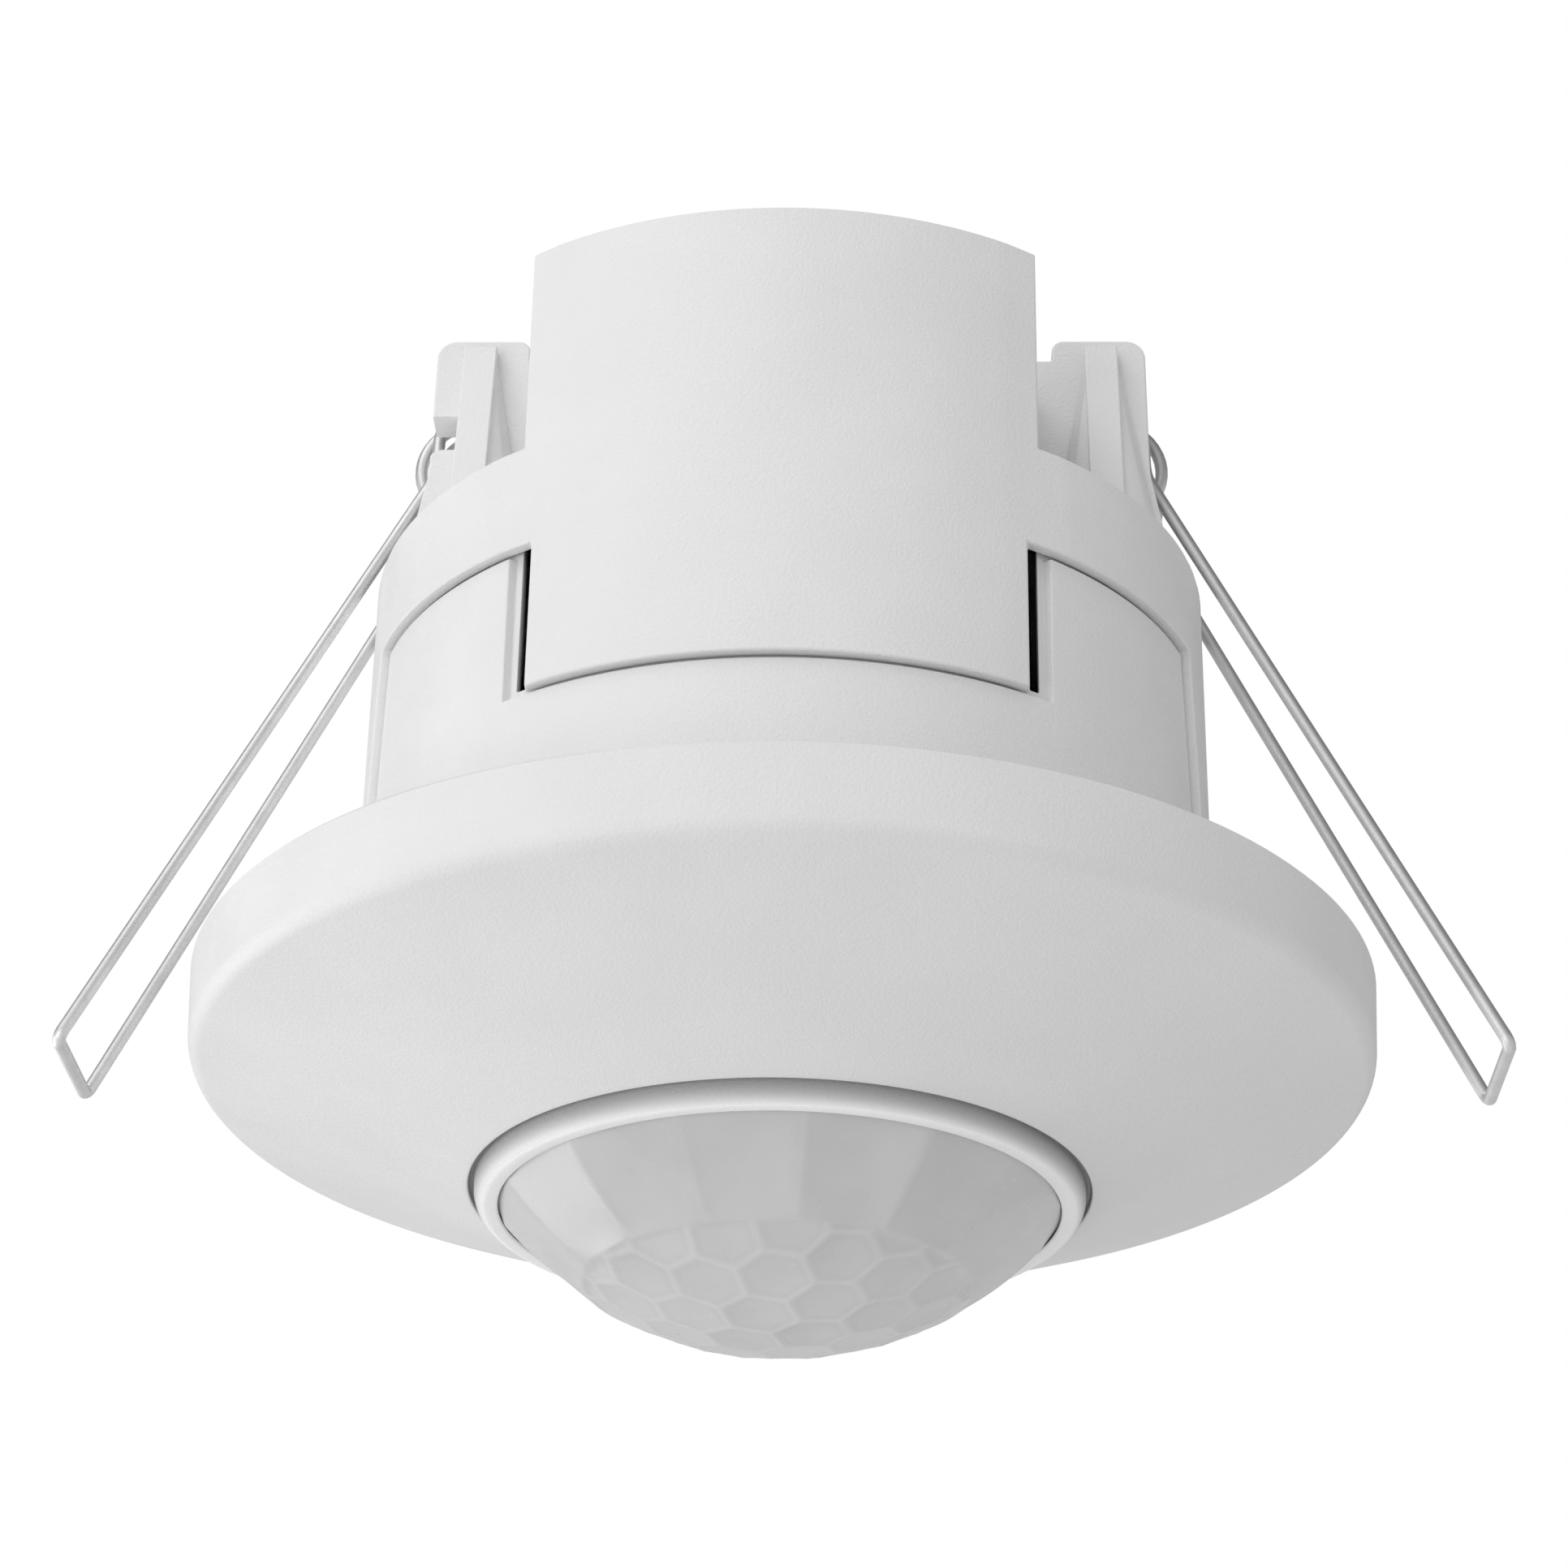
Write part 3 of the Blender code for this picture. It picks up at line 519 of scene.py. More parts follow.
def metal(name, dark, light, roughness=(0.2, 0.34), streak_mm=0.25, streak_depth=0.006):
    """Drawn or rolled metal, with fine streaks in its gloss."""
    made, nodes, links = node_tree(name)
    shader = nodes["Principled BSDF"]
    shader.inputs["Metallic"].default_value = 1.0
    tone = noise(nodes, links, 1.6, 4.0)
    links.new(tinted(nodes, links, tone.outputs["Fac"], dark, light), shader.inputs["Base Color"])
    streak = noise(nodes, links, streak_mm, 4.0, 0.7)
    links.new(between(nodes, links, streak.outputs["Fac"], *roughness), shader.inputs["Roughness"])
    bump(nodes, links, streak.outputs["Fac"], streak_depth, shader)
    return made


def lens_finish():
    """Milky polyethylene: it lets a little light through, and its cells differ a little in tone. Its tone
    also carries painted light: painted highlight and shade lines along the creases, and a gradient across
    the lens.
    """
    made, nodes, links = node_tree("milky_lens")
    shader = nodes["Principled BSDF"]
    shader.inputs["Transmission Weight"].default_value = 0.2
    shader.inputs["IOR"].default_value = 1.5
    cells = nodes.new("ShaderNodeAttribute")
    cells.attribute_name = "tone"
    cloud = noise(nodes, links, 5.0, 2.0)
    tone = nodes.new("ShaderNodeMix")
    tone.inputs["Factor"].default_value = 0.25
    links.new(cells.outputs["Fac"], tone.inputs["A"])
    links.new(cloud.outputs["Fac"], tone.inputs["B"])
    links.new(tinted(nodes, links, tone.outputs["Result"], (0.6, 0.6, 0.605), (0.92, 0.92, 0.925), 0.2, 0.8),
              shader.inputs["Base Color"])
    links.new(between(nodes, links, cloud.outputs["Fac"], 0.24, 0.34), shader.inputs["Roughness"])
    ripple = noise(nodes, links, 1.4, 2.0)
    bump(nodes, links, ripple.outputs["Fac"], 0.01, shader)
    return made


FINISHES = {
    "white_moulding": plastic("white_moulding", *WHITE),
    "white_trim": trim_finish_with_painted_light(),
    "milky_lens": lens_finish(),
    "spring_steel": metal("spring_steel", (0.76, 0.76, 0.765), (0.82, 0.82, 0.825), (0.5, 0.54), 2.4, 0.0),
    "screw_steel": metal("screw_steel", (0.5, 0.5, 0.5), (0.66, 0.65, 0.63), (0.25, 0.4)),
    "tinned_can": metal("tinned_can", (0.6, 0.59, 0.55), (0.76, 0.75, 0.71), (0.18, 0.3)),
    "filter_window": plastic("filter_window", (0.02, 0.02, 0.025), (0.05, 0.05, 0.06), (0.08, 0.14),
                             0.5, 0.002),
    "led_epoxy": plastic("led_epoxy", (0.12, 0.42, 0.16), (0.2, 0.6, 0.24), (0.1, 0.18), 0.6, 0.003, 1.5),
    "circuit_board": plastic("circuit_board", (0.012, 0.1, 0.035), (0.02, 0.16, 0.06), (0.28, 0.42),
                             0.5, 0.02, 1.2),
    "black_moulding": plastic("black_moulding", (0.012, 0.012, 0.013), (0.03, 0.03, 0.032), (0.38, 0.52)),
    "capacitor_sleeve": plastic("capacitor_sleeve", (0.015, 0.015, 0.03), (0.03, 0.03, 0.05), (0.22, 0.32),
                                0.8, 0.01),
    "capacitor_box": plastic("capacitor_box", (0.6, 0.4, 0.03), (0.72, 0.5, 0.06), (0.32, 0.44)),
    "blue_coating": plastic("blue_coating", (0.02, 0.07, 0.26), (0.04, 0.11, 0.36), (0.18, 0.32),
                            0.9, 0.03, 2.0),
    "grey_moulding": plastic("grey_moulding", (0.2, 0.205, 0.21), (0.27, 0.275, 0.28)),
    "nylon": plastic("nylon", (0.6, 0.58, 0.5), (0.7, 0.68, 0.6), (0.36, 0.48), 0.3, 0.01, 3.0),
    "grommet_rubber": plastic("grommet_rubber", (0.3, 0.3, 0.3), (0.37, 0.37, 0.37), (0.6, 0.75), 0.2, 0.03),
}


def piece(item, name, body, finish, *nodes, sharp=38, weighted=True):
    """Turn a working object into a named piece that rides on a body and stands for CAD nodes."""
    item.name = name
    item.data.name = name
    bm = bmesh.new()
    bm.from_mesh(item.data)
    bmesh.ops.scale(bm, verts=bm.verts, vec=(MM, MM, MM))
    bm.to_mesh(item.data)
    bm.free()
    item.data.shade_smooth()
    item.data.set_sharp_from_angle(angle=radians(sharp))
    if weighted:
        step = item.modifiers.new("normals", "WEIGHTED_NORMAL")
        step.keep_sharp = True
        bake(item)
    item.data.materials.clear()
    item.data.materials.append(FINISHES[finish])
    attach(item, body)
    if nodes:
        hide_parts(*nodes)
    return item


# ------------------------------------------------------------------ trim plate and lens

def face_height(radius):
    """Height of the trim's conical face at a radius."""
    angle = -pi / 2 + atan2(CONE_SLOPE, 1)
    foot_r = TRIM_R - TRIM_DRAFT - RIM_FOOT_R + RIM_FOOT_R * cos(angle)
    foot_z = -RIM_HEIGHT + RIM_FOOT_R * sin(angle)
    return foot_z - (foot_r - radius) * CONE_SLOPE


def bead_section():
    """The groove and the bead round the lens hole, from the face inwards."""
    inner, outer = GROOVE_R
    points = softened([(outer + 0.4, face_height(outer + 0.4)), (outer, face_height(outer), 0.12),
                       (outer - 0.06, GROOVE_Z, 0.12), (inner + 0.05, GROOVE_Z, 0.1),
                       (inner, BEAD_SIDE_Z + 0.2)], 4, False)
    crest_r, crest_z = BEAD_CREST
    for i in range(BEAD_STEPS + 1):
        turn = pi / 2 * i / BEAD_STEPS
        points.append((crest_r + (inner - crest_r) * cos(turn),
                       BEAD_SIDE_Z + (crest_z - BEAD_SIDE_Z) * sin(turn)))
    return points + softened([(crest_r - 0.15, crest_z), (BEAD_LIP[0] + 0.05, crest_z + 0.02, 0.16),
                              (BEAD_LIP[0], BEAD_LIP[1] + 0.04, 0.05), (LENS_HOLE_R - 0.05, -14.4, 0.1),
                              (LENS_HOLE_R, -13.9)], 4, False)


def make_trim():
    rim_low_r = TRIM_R - TRIM_DRAFT
    inner_r = TRIM_R - TRIM_WALL
    shelf_r = inner_r - SHELF_INSET
    outline = softened([(TRIM_R, -0.25), (rim_low_r, face_height(rim_low_r), RIM_FILLET),
                        (GROOVE_R[1] + 0.5, face_height(GROOVE_R[1] + 0.5))], 12, False)
    outline += bead_section()
    outline += softened([(LENS_HOLE_R, face_height(LENS_HOLE_R) + TRIM_WALL, 0.3),
                         (shelf_r, face_height(shelf_r) + TRIM_WALL, 0.3),
                         (inner_r, face_height(shelf_r) + TRIM_WALL + SHELF_DROP, 0.3),
                         (inner_r, -0.1)], 4, False)
    outline += [(inner_r + 0.1, 0), (TRIM_R - 0.25, 0)]
    return piece(turned(outline), "trim_moulding", "trim", "white_trim", "trim_plate", weighted=False)


def lattice_cell(x, y):
    """The honeycomb cell at a place along the dome: its number, and the place's depth and edge distance."""
    x, y = (x * cos(CELL_TURN) + y * sin(CELL_TURN), -x * sin(CELL_TURN) + y * cos(CELL_TURN))
    x -= CELL / 2
    pitch_y = CELL * sqrt(3) / 2
    near = []
    for row in range(int(y // pitch_y) - 1, int(y // pitch_y) + 3):
        shift = CELL / 2 if row % 2 else 0.0
        first = int((x - shift) // CELL)
        for column in (first, first + 1):
            near.append((hypot(x - column * CELL - shift, y - row * pitch_y), column * 31 + row * 17))
    near.sort()
    return near[0][1], near[0][0] * sqrt(3) / CELL, (near[1][0] ** 2 - near[0][0] ** 2) / (2 * CELL)


def lens_cell(x, y):
    """How far the lens lies below the dome, and its tone from 0 to 1, at a place along the dome. The tone
    carries painted light: a gradient across the lens, a painted highlight line on each crease and a painted
    shade line beside it.
    """
    along = hypot(x, y)
    last = asin(LENS_R / DOME_R) * DOME_R + 0.5
    # Painted light: the lens is lighter towards +X and +Y and darker towards -X and -Y.
    painted_light_gradient = 0.5 + 0.26 * (0.45 * x + 0.8 * y) / LENS_R
    if along > CELL_ZONE:
        width = 2 * pi / SECTORS
        turn = (atan2(y, x) + width / 4) % (2 * pi)
        number = int(turn / width)
        across = abs((turn / width) % 1 - 0.5) * 2
        deep = abs((along - CELL_ZONE) / (last - CELL_ZONE) - 0.5) * 2
        drop = SECTOR_FLAT * (1 - across ** 2) * (1 - deep ** 4)
        edge = (1 - across) * along * width / 2
        spread, shine = 0.12, 0.06
    else:
        number, share, edge = lattice_cell(x, y)
        drop = CELL_FLAT * (1 - share ** 2) * min((CELL_ZONE - along) / 0.5, 1.0)
        spread, shine = 0.1, 0.13
    varied = sin(number * 12.9898) * 43758.5453 % 1 - 0.5
    # Painted light: a painted highlight line along each crease and a painted shade line beside it; shine
    # sets their strength.
    painted_highlight_line = max(0.0, 1 - edge / CREASE_HALF)
    painted_shade_line = CREASE_SHADE * max(0.0, 1 - abs(edge - CREASE_SHADE_AT) / CREASE_HALF)
    return drop, painted_light_gradient + spread * varied + shine * (painted_highlight_line - painted_shade_line)


def make_lens():
    """The lens as one grid: a faceted dome outside, a plain dome inside, and the flange between them."""
    rings, sides = LENS_RINGS, LENS_SIDES
    last = asin((LENS_R - 0.3) / DOME_R) * DOME_R
    bm = bmesh.new()
    tones = []
    drop, tone = lens_cell(0, 0)
    pole = bm.verts.new((0, 0, DOME_CENTRE_Z - DOME_R + drop))
    tones.append((pole.co.copy(), tone))
    grid = []
    for i in range(1, rings + 1):
        along = last * i / rings
        ring = []
        for k in range(sides):
            turn = 2 * pi * k / sides
            drop, tone = lens_cell(along * cos(turn), along * sin(turn))
            radius = DOME_R - drop
            angle = along / DOME_R
            ring.append(bm.verts.new((radius * sin(angle) * cos(turn), radius * sin(angle) * sin(turn),
                                      DOME_CENTRE_Z - radius * cos(angle))))
            tones.append((ring[-1].co.copy(), tone))
        grid.append(ring)
    inner_r = LENS_R - LENS_WALL
    outline = [(LENS_R, LENS_SHOULDER_Z), (LENS_R, LENS_FLANGE_Z), (LENS_FLANGE_R, LENS_FLANGE_Z),
               (LENS_FLANGE_R, LENS_TOP), (inner_r, LENS_TOP)]
    inner_dome = DOME_R - LENS_WALL
    edge = asin(inner_r / inner_dome)
    outline += [(inner_dome * sin(edge * i / 12), DOME_CENTRE_Z - inner_dome * cos(edge * i / 12))
                for i in range(12, 0, -1)]
    for radius, z in outline:
        grid.append([bm.verts.new((radius * cos(2 * pi * k / sides), radius * sin(2 * pi * k / sides), z))
                     for k in range(sides)])
    inner_pole = bm.verts.new((0, 0, DOME_CENTRE_Z - inner_dome))
    for k in range(sides):
        j = (k + 1) % sides
        bm.faces.new((pole, grid[0][k], grid[0][j]))
        bm.faces.new((grid[-1][k], inner_pole, grid[-1][j]))
        for one, two in zip(grid, grid[1:]):
            bm.faces.new((one[k], two[k], two[j], one[j]))
    made = solid(bm)
    tree = KDTree(len(tones))
    for number, (place, _) in enumerate(tones):
        tree.insert(place, number)
    tree.balance()
    held = made.data.attributes.new("tone", "FLOAT", "POINT")
    for number, vertex in enumerate(made.data.vertices):
        _, found, gap = tree.find(vertex.co)
        held.data[number].value = tones[found][1] if gap < 0.01 else 0.5
    return piece(made, "lens_facets", "detector", "milky_lens", "fresnel_lens", weighted=False)


# ------------------------------------------------------------------ housing

def plane_angles(radius, offsets_x=(), offsets_y=()):
    """Where upright planes cross a circle, in degrees, on all four sides."""
    found = []
    for offset in offsets_x:
        angle = degrees(acos(offset / radius))
        found += [angle, 180 - angle, 180 + angle, 360 - angle]
    for offset in offsets_y:
        angle = degrees(asin(offset / radius))
        found += [angle, 180 - angle, 180 + angle, 360 - angle]
    return found


def skirt_side(side, gap):
    """A skirt's slanting side, in YZ, moved outwards by a gap: its low and its high end."""
    return [(side * (SKIRT_HALF_WIDTH[0] + gap), 0), (side * (SKIRT_HALF_WIDTH[1] + gap), BAND_BOTTOM)]


def beyond_skirt(side_x, side_y):
    """What a panel gives up to a skirt of the cover, with a narrow gap between them."""
    low_end, high_end = skirt_side(side_y, SKIRT_GAP)
    inner = side_y * 2
    outline = [(inner, -1), (low_end[0], -1), low_end, high_end, (high_end[0], PANEL_TOP + 1),
               (inner, PANEL_TOP + 1)]
    x = sorted((side_x * 18, side_x * FAR))
    return prism(outline, x[0], x[1], "YZ")


def make_panel(side_x, side_y):
    """A raised panel on the drum's wall, chamfered along the slit and slanting along the skirt."""
    near, far = PANEL_ANGLES
    outline = [PANEL_CHAMFER] + arc((0, 0), PANEL_R, far, near, far - near)
    outline += arc((0, 0), DRUM_R - PANEL_ROOT, near, far, far - near) + [(PANEL_CHAMFER[0], 21)]
    panel = prism([(side_x * x, side_y * y) for x, y in outline], PANEL_STEP, PANEL_TOP)
    return cut(panel, beyond_skirt(side_x, side_y))


def make_apron(side_y):
    """The panels' lower part, which runs on from skirt to skirt under a tab of the cover."""
    near = PANEL_ANGLES[0]
    outline = arc((0, 0), PANEL_R, near, 180 - near, 180 - 2 * near)
    outline += arc((0, 0), DRUM_R - PANEL_ROOT, 180 - near, near, 180 - 2 * near)
    apron = prism([(x, side_y * y) for x, y in outline], -0.4, PANEL_STEP)
    return cut(apron, beyond_skirt(-1, side_y), beyond_skirt(1, side_y))


def make_housing():
    """The drum with its ceiling flange, raised panels, slits, and the bosses of the cover's screws."""
    inner_r = DRUM_R - DRUM_WALL
    angles = clear_angles(ROUND, plane_angles(DRUM_R, SLIT_X) + plane_angles(inner_r, SLIT_X))
    outline = softened([(inner_r, -FLANGE_THICK), (FLANGE_R, -FLANGE_THICK, 0.3), (FLANGE_R, 0, 0.3),
                        (34.6, 0, 0.2), (34.4, -0.35, 0.1), (33.6, -0.35, 0.1), (33.4, 0, 0.2),
                        (DRUM_R, 0), (DRUM_R, DRUM_TOP), (inner_r, DRUM_TOP)], 3)
    drum = turned(outline, angles=angles)
    bosses = []
    for x, y in COVER_SCREWS:
        bosses.append(cylinder(BOSS_R, BOSS_BOTTOM, DRUM_TOP - 0.2, (x, y), 32))
    join(drum, *bosses)
    holes = [cylinder(SCREW_HOLE_R, SCREW_HOLE_BOTTOM, DRUM_TOP + 1, place, 24) for place in COVER_SCREWS]
    slits = []
    panels = []
    for side_y in (-1, 1):
        panels.append(make_apron(side_y))
        for side_x in (-1, 1):
            panels.append(make_panel(side_x, side_y))
            x = sorted(side_x * value for value in SLIT_X)
            y = sorted((side_y * SLIT_DEPTH_Y, side_y * (DRUM_R + 1)))
            slits.append(box((x[0], y[0], SLIT_BOTTOM), (x[1], y[1], DRUM_TOP + 1)))
    for panel in panels:
        join(drum, panel)
    cut(drum, *holes)
    cut(drum, *slits)
    rounded(drum, 0.12, 2, 40)
    return piece(drum, "drum_moulding", "detector", "white_moulding", "housing")


# ------------------------------------------------------------------ rear cover

def cheek_outline():
    """A cheek with its web to the cable box, in XZ; its outer edge splays towards the foot."""
    left, right = EAR_X
    return softened([(BOX_HALF_WIDTH - 0.8, EAR_FOOT), (right + 1.1, EAR_FOOT), (right + 0.85, 34.4, 4),
                     (right + 0.1, 38.5, 6), (right, EAR_TOP, EAR_CORNER), (left, EAR_TOP, EAR_CORNER),
                     (left, WEB_TOP, 0.2), (BOX_HALF_WIDTH - 0.8, WEB_TOP)], 8)


def make_cheek(side, slotted):
    """One cheek of the right-hand bracket: plate, web to the cable box, rib and conical gusset."""
    def mirrored(near, far):
        return sorted((side * near, side * far))

    y = mirrored(*EAR_Y)
    plate = rounded(prism(cheek_outline(), y[0], y[1], "XZ"), 0.18, 3, 50)
    gusset = turned([(0, EAR_FOOT), (CONE_RADII[0], EAR_FOOT), (CONE_RADII[1], CONE_TOP - 0.15),
                     (CONE_RADII[1] - 0.15, CONE_TOP), (0, CONE_TOP)], 64, (CONE_X, side * EAR_Y[1], 0))
    inner = mirrored(-FAR, EAR_Y[0] + 1.0)
    cut(gusset, box((0, inner[0], 0), (FAR, inner[1], FAR)))
    if slotted:
        outer = mirrored(0, FAR)
        cut(gusset, box((CONE_X + 0.01, outer[0], 0), (FAR, outer[1], FAR)))
    foot = EAR_Y[1]
    rib = [(side * (foot - 1), EAR_FOOT), (side * (foot + RIB_PROUD[1]), EAR_FOOT),
           (side * (foot + RIB_PROUD[0]), RIB_TOP), (side * (foot - 1), RIB_TOP)]
    rib = rounded(prism(rib, RIB_X[0], RIB_X[1], "YZ"), 0.12, 3)
    join(plate, gusset, rib)
    hole_y = sorted((side * (JOURNAL_REACH + HOLE_Y[1]), side * HOLE_Y[0]))
    if slotted:
        mouth_y = mirrored(HOLE_Y[0], EAR_Y[1] + 1.2)
        bottom, top = SLOT_Z[0] + SLOT_CHAMFER, SLOT_Z[1]
        lip = [(EAR_X[1] + 0.25, bottom, 1.3), (EAR_X[1] + 0.35, SLOT_Z[0] - 2.2),
               (FAR, SLOT_Z[0] - 2.2), (FAR, top)]
        slot_x = PIVOT_X - SLOT_START
        mouth_x = RIB_X[1] + 0.05
        slot = softened([(slot_x, bottom, 0.5), *lip, (slot_x, top, 0.5)], 8)
        mouth = softened([(mouth_x, bottom), *lip, (mouth_x, top)], 8)
        cut(plate, prism(slot, *hole_y, "XZ"), prism(mouth, *mouth_y, "XZ"))
    else:
        half = (hole_y[1] - hole_y[0]) / 2
        radius = JOURNAL_R + JOURNAL_GAP
        centre_y = (hole_y[0] + hole_y[1]) / 2
        cut(plate, turned([(0, -half), (radius, -half), (radius, half), (0, half)], 40,
                          (PIVOT_X, centre_y, PIVOT_Z), "Y"))
    return plate


def box_cavity(radius, half_width, bottom, top):
    """The cable box's inside: a circle cut off flat on both sides."""
    limit = degrees(acos(half_width / radius))
    outline = arc((0, 0), radius, limit, 180 - limit, 30)
    outline += arc((0, 0), radius, 180 + limit, 360 - limit, 30)
    return prism(outline, bottom, top)


def make_cover():
    """The cover: a drum cut back to band, tabs, skirts and cable box, with four cheeks joined on."""
    inner_r = COVER_R - COVER_WALL
    crossings = []
    for radius in (COVER_R, inner_r):
        crossings += plane_angles(radius, (BOX_HALF_WIDTH, TAB_HALF_WIDTH), SKIRT_HALF_WIDTH)
    angles = clear_angles(ROUND, crossings)
    cover = cylinder(COVER_R, COVER_LOW, BOX_TOP, angles=angles)
    tools = []
    for side in (-1, 1):
        x = sorted((side * BOX_HALF_WIDTH, side * FAR))
        tools.append(box((x[0], -FAR, BAND_TOP), (x[1], FAR, FAR)))
        y = sorted((side * SKIRT_HALF_WIDTH[1], side * FAR))
        tools.append(box((-FAR, y[0], -1), (FAR, y[1], TAB_BOTTOM)))
        low_end, high_end = skirt_side(side, 0)
        window = [(low_end[0], -1), low_end, high_end, (side * FAR, BAND_BOTTOM), (side * FAR, -1)]
        for side_x in (-1, 1):
            x = sorted((side_x * TAB_HALF_WIDTH, side_x * FAR))
            tools.append(prism(window, x[0], x[1], "YZ"))
    tools.append(cylinder(inner_r, -2, DECK_UNDERSIDE, angles=angles))
    tools.append(box_cavity(COVER_R - BOX_WALL, BOX_HALF_WIDTH - BOX_WALL, DECK_UNDERSIDE - 1,
                            BOX_TOP - BOX_WALL))
    tools.append(cylinder(CABLE_HOLE_R, BOX_TOP - 3, BOX_TOP + 1, (0, CABLE_HOLE_Y), 64))
    for place in COVER_SCREWS:
        tools.append(cylinder(SCREW_HOLE_R, DECK_UNDERSIDE - 1, BAND_TOP + 1, place, 32))
    for tool in tools:
        cut(cover, tool)
    rounded(cover, 0.15, 3, 45)
    cheeks = []
    for half_turn in (False, True):
        for side, slotted in ((-1, False), (1, True)):
            cheek = make_cheek(side, slotted)
            cheeks.append(turn_half_round(cheek) if half_turn else cheek)
    for cheek in cheeks:
        join(cover, cheek)
    return piece(cover, "cover_moulding", "detector", "white_moulding", "rear_cover")


# ------------------------------------------------------------------ springs

def leg_line(distance, y):
    """A point on a leg's straight line, from its point nearest to the pivot."""
    along = Vector((sin(LEG_ANGLE), 0, -cos(LEG_ANGLE)))
    across = Vector((cos(LEG_ANGLE), 0, sin(LEG_ANGLE)))
    return across * LEG_OFFSET + along * distance + Vector((0, y, 0))


def bend_points(start, heading, end, leaving, steps, pull):
    """A smooth bend between two points with set headings (a cubic Hermite curve)."""
    points = []
    for i in range(1, steps):
        t = i / steps
        points.append(start * (2 * t**3 - 3 * t**2 + 1) + heading * pull * (t**3 - 2 * t**2 + t)
                      + end * (3 * t**2 - 2 * t**3) + leaving * pull * (t**3 - t**2))
    return points


def bail_points():
    """A clip spring's wire about its pivot: two coils, two legs and the bail's end."""
    steps = int(COIL_TURNS * 44)
    half = []
    for i in range(steps + 1):
        share = i / steps
        angle = COIL_END_ANGLE + (1 - share) * COIL_TURNS * 2 * pi
        y = COIL_Y[0] + (COIL_Y[1] - COIL_Y[0]) * share
        half.append(Vector((COIL_R * cos(angle), y, COIL_R * sin(angle))))
    heading = Vector((sin(COIL_END_ANGLE), 0, -cos(COIL_END_ANGLE)))
    along = Vector((sin(LEG_ANGLE), 0, -cos(LEG_ANGLE)))
    start = leg_line(LEG_START, LEG_START_Y)
    half += bend_points(half[-1], heading, start, along, 14, 5.5) + [start]
    corner_from = leg_line(LEG_END - BAIL_CORNER, LEG_END_Y)
    half += [start.lerp(corner_from, i / 8) for i in range(1, 9)]
    for i in range(1, 11):
        turn = pi / 2 * i / 10
        forward = LEG_END - BAIL_CORNER + BAIL_CORNER * sin(turn)
        half.append(leg_line(forward, LEG_END_Y - BAIL_CORNER * (1 - cos(turn))))
    return half + [Vector((p.x, -p.y, p.z)) for p in reversed(half)]


def tail_points():
    """The spring's fixed middle loop, about the pivot."""
    foot = Vector((TAIL_FOOT[0] - PIVOT_X, 0, TAIL_FOOT[1] - PIVOT_Z))
    top = Vector((TAIL_TOP[0] - PIVOT_X, TAIL_Y, TAIL_TOP[1] - PIVOT_Z))
    down = (foot - Vector((top.x, 0, top.z))).normalized()
    corner = 0.9
    half = [top]
    for i in range(9):
        turn = pi / 2 * i / 8
        aside = Vector((0, TAIL_Y - corner * (1 - cos(turn)), 0))
        half.append(foot + down * corner * (sin(turn) - 1) + aside)
    return half + [Vector((p.x, -p.y, p.z)) for p in reversed(half)]


def make_springs():
    """Both clip springs, their fixed tails and the pins that they turn on."""
    for name, body, half_turn in (("right", "right_arm", False), ("left", "left_arm", True)):
        pin_outline = softened([(0, -JOURNAL_REACH), (JOURNAL_R, -JOURNAL_REACH, 0.2),
                                (JOURNAL_R, -PIN_HALF_LENGTH, 0.15), (PIN_R, -PIN_HALF_LENGTH, 0.3),
                                (PIN_R, PIN_HALF_LENGTH, 0.3), (JOURNAL_R, PIN_HALF_LENGTH, 0.15),
                                (JOURNAL_R, JOURNAL_REACH, 0.2), (0, JOURNAL_REACH)], 4, False)
        made = ((wire(bail_points()), "_bail_wire", body, "spring_steel", "_clip_spring"),
                (wire(tail_points()), "_tail_wire", "detector", "spring_steel", "_spring_tail"),
                (turned(pin_outline, 48, axis="Y"), "_hinge_pin", "detector", "white_moulding",
                 "_spring_pin"))
        for item, ending, rides_on, finish, node in made:
            item.data.transform(Matrix.Translation((PIVOT_X, 0, PIVOT_Z)))
            if half_turn:
                turn_half_round(item)
            piece(item, name + ending, rides_on, finish, name + node, weighted=False)


# ------------------------------------------------------------------ fasteners, grommet and dials

def middle(node):
    """Where an upright turned piece's axis stands, and its greatest radius."""
    bottom, top = low(node), high(node)
    return ((bottom.x + top.x) / 2, (bottom.y + top.y) / 2), (top.x - bottom.x) / 2


def make_screw(node, head_height, upwards):
    """A pan-head screw with a cross recess and a few thread ridges at its free end."""
    place, head_r = middle(node)
    length = high(node).z - low(node).z
    shank = head_r / 2
    under_head = length - head_height
    outline = [(0, 0), (shank * 0.55, 0)]
    core = shank * 0.78
    for i in range(int(under_head / SCREW_PITCH)):
        outline += [(core, 0.1 + SCREW_PITCH * i), (shank, 0.5 + SCREW_PITCH * i)]
    outline += softened([(core, under_head - 0.1), (core, under_head), (head_r, under_head, 0.15),
                         (head_r, under_head + head_height * 0.5, 0.5), (head_r * 0.6, length, 1.2),
                         (0, length)], 5, False)
    made = turned(outline, 48)
    reach = head_r * 0.58
    crosses = []
    for x, y in ((reach, CROSS_HALF_WIDTH), (CROSS_HALF_WIDTH, reach)):
        crosses.append(rounded(box((-x, -y, length - CROSS_DEPTH), (x, y, length + 1)), 0.05))
    cut(made, *crosses)
    if not upwards:
        made.data.transform(Matrix.Rotation(pi, 4, "X"))
    made.data.transform(Matrix.Translation((*place, low(node).z if upwards else high(node).z)))
    piece(made, node + "_crossed", "detector", "screw_steel", node)


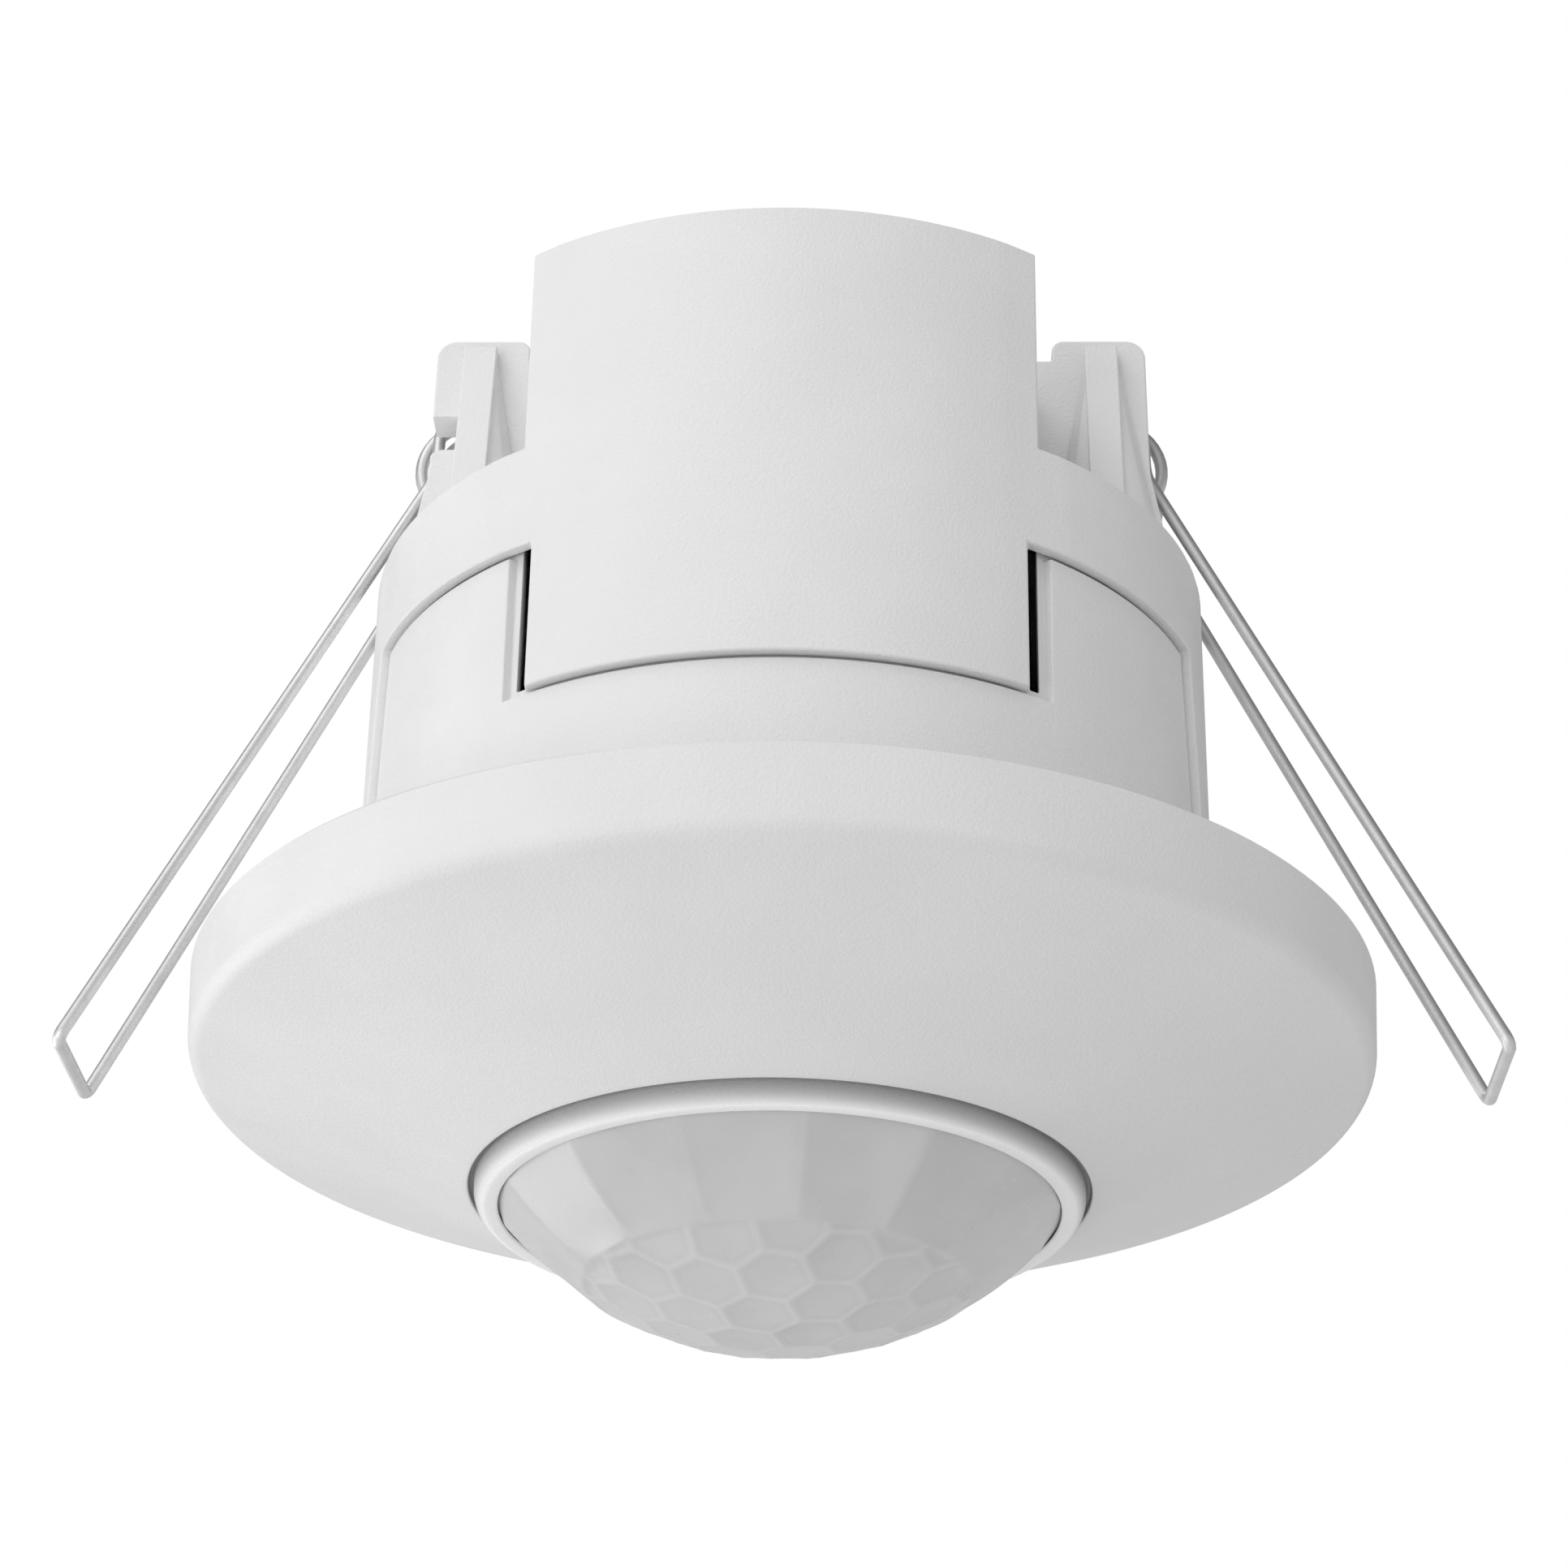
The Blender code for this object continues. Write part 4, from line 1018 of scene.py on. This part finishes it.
def make_grommet():
    """The cable's rubber seal: a stepped collar above the box and a thin cone to be pierced."""
    place = middle("cable_grommet")[0]
    inside = BOX_TOP - BOX_WALL - 0.3
    outside = BOX_TOP + 0.3
    top = high("cable_grommet").z
    neck = CABLE_HOLE_R - 0.3
    outline = softened([(0, inside - 1.2), (6.2, inside - 1.2, 0.3), (6.6, inside, 0.2), (neck, inside, 0.2),
                        (neck, outside, 0.2), (6.9, outside, 0.3), (6.4, top, 0.5), (5.5, top, 0.2),
                        (5.3, top - 0.35, 0.15), (4.7, top - 0.35, 0.15), (4.5, top, 0.2), (3.4, top, 0.3),
                        (3.0, outside + 0.2, 0.3), (1.2, outside + 0.2, 0.2), (0.8, outside + 0.7, 0.2),
                        (0, outside + 0.7)], 5, False)
    piece(turned(outline, 96, (*place, 0)), "cable_grommet_collar", "detector", "grommet_rubber",
          "cable_grommet")


def make_dial(node, body):
    """A slotted dial with a fluted rim."""
    place, radius = middle(node)
    bottom, top = low(node).z, high(node).z
    outline = []
    for i in range(DIAL_SIDES):
        angle = 2 * pi * i / DIAL_SIDES
        reach = radius - DIAL_FLUTE_DEPTH * (0.5 + 0.5 * cos(DIAL_FLUTES * angle))
        outline.append((reach * cos(angle), reach * sin(angle)))
    made = rounded(prism(outline, bottom, top), 0.12, 3, 50)
    width, length, depth = DIAL_SLOT
    slot = box((-length / 2, -width / 2, bottom - 1), (length / 2, width / 2, bottom + depth))
    cut(made, rounded(slot, 0.1))
    made.data.transform(Matrix.Translation((*place, 0)))
    piece(made, node + "_fluted", body, "nylon", node, weighted=False)


make_trim()
make_lens()
make_housing()
make_cover()
make_springs()
for screw in ("cover_screw_1", "cover_screw_2"):
    make_screw(screw, 1.5, True)
for screw in ("front_screw_1", "front_screw_2", "front_screw_3"):
    make_screw(screw, 1.3, False)
make_grommet()
make_dial("time_dial", "time_knob")
make_dial("light_dial", "light_knob")


# ------------------------------------------------------------------ CAD pieces that stay

def finish_cad_nodes():
    """Give each CAD node the procedural finish of its own material slot."""
    by_node = {}
    for entry in frame["record"]["materials"]:
        for node in entry.get("nodes", []):
            by_node[node] = entry["slot"]
    for name, node in frame["nodes"].items():
        slots = node.material_slots
        finish = by_node.get(name)
        if finish is None and slots and slots[0].material:
            finish = slots[0].material.name.split(".")[0]
        if finish in FINISHES:
            for held in slots:
                held.material = FINISHES[finish]
        else:
            print("no finish for", name, finish)


finish_cad_nodes()


# ------------------------------------------------------------------ room, light and camera

def look_from(azimuth, elevation):
    """Unit vector from the object to a viewer; azimuth 0 is in front, at -Y."""
    return Vector((sin(azimuth) * cos(elevation), -cos(azimuth) * cos(elevation), sin(elevation)))


def make_camera():
    camera = bpy.data.objects.new("camera", bpy.data.cameras.new("camera"))
    bpy.context.scene.collection.objects.link(camera)
    back = look_from(CAMERA_AZIMUTH, CAMERA_ELEVATION)
    right = Vector((cos(CAMERA_AZIMUTH), sin(CAMERA_AZIMUTH), 0))
    up = back.cross(right)
    turned_right = right * cos(CAMERA_ROLL) + up * sin(CAMERA_ROLL)
    turned_up = up * cos(CAMERA_ROLL) - right * sin(CAMERA_ROLL)
    place = (CAMERA_TARGET + back * CAMERA_DISTANCE) * MM
    columns = Matrix((turned_right, turned_up, back)).transposed().to_4x4()
    camera.matrix_world = Matrix.Translation(place) @ columns
    camera.data.lens = CAMERA_LENS
    camera.data.sensor_width = SENSOR_WIDTH
    camera.data.clip_start, camera.data.clip_end = CLIP_RANGE
    bpy.context.scene.camera = camera


def make_floor():
    bm = bmesh.new()
    bmesh.ops.create_grid(bm, x_segments=1, y_segments=1, size=FLOOR_SIZE / 2)
    bmesh.ops.translate(bm, verts=bm.verts, vec=(0, 0, FLOOR_Z))
    mesh = bpy.data.meshes.new("floor")
    bm.to_mesh(mesh)
    bm.free()
    floor = bpy.data.objects.new("floor", mesh)
    bpy.context.scene.collection.objects.link(floor)
    made, nodes, links = node_tree("floor")
    shader = nodes["Principled BSDF"]
    tone = noise(nodes, links, 300.0)
    links.new(tinted(nodes, links, tone.outputs["Fac"], (0.84, 0.84, 0.84), (0.87, 0.87, 0.87)),
              shader.inputs["Base Color"])
    shader.inputs["Roughness"].default_value = 0.8
    mesh.materials.append(made)


def make_world():
    """White all round for the camera, a soft grey as the room's light, darker above in reflections."""
    world = bpy.data.worlds.new("studio")
    world.use_nodes = True
    nodes, links = world.node_tree.nodes, world.node_tree.links
    nodes.clear()
    output = nodes.new("ShaderNodeOutputWorld")
    mix = nodes.new("ShaderNodeMixShader")
    path = nodes.new("ShaderNodeLightPath")
    place = nodes.new("ShaderNodeTexCoord")
    upright = nodes.new("ShaderNodeSeparateXYZ")
    links.new(place.outputs["Generated"], upright.inputs["Vector"])
    shine = nodes.new("ShaderNodeBackground")
    shine.inputs["Color"].default_value = (1, 1, 1, 1)
    links.new(between(nodes, links, upright.outputs["Z"], *SHINE, *SHINE_SPAN), shine.inputs["Strength"])
    soften = nodes.new("ShaderNodeMixShader")
    room = nodes.new("ShaderNodeBackground")
    seen = nodes.new("ShaderNodeBackground")
    room.inputs["Color"].default_value = (1, 1, 1, 1)
    room.inputs["Strength"].default_value = ROOM_LIGHT
    seen.inputs["Strength"].default_value = 1.0
    seen.inputs["Color"].default_value = (1, 1, 1, 1)
    links.new(path.outputs["Is Camera Ray"], mix.inputs["Fac"])
    links.new(path.outputs["Is Glossy Ray"], soften.inputs["Fac"])
    links.new(room.outputs["Background"], soften.inputs[1])
    links.new(shine.outputs["Background"], soften.inputs[2])
    links.new(soften.outputs["Shader"], mix.inputs[1])
    links.new(seen.outputs["Background"], mix.inputs[2])
    links.new(mix.outputs["Shader"], output.inputs["Surface"])
    bpy.context.scene.world = world


def area_light(name, azimuth, elevation, watts):
    data = bpy.data.lights.new(name, "AREA")
    data.shape = "SQUARE"
    data.size = LIGHT_SIZE
    data.energy = watts
    light = bpy.data.objects.new(name, data)
    bpy.context.scene.collection.objects.link(light)
    back = look_from(radians(azimuth), radians(elevation))
    light.location = CAMERA_TARGET * MM + back * LIGHT_DISTANCE
    light.rotation_euler = back.to_track_quat("Z", "Y").to_euler()


make_camera()
make_floor()
make_world()
for light in LIGHTS:
    area_light(*light)
bpy.context.scene.view_settings.view_transform = "Standard"
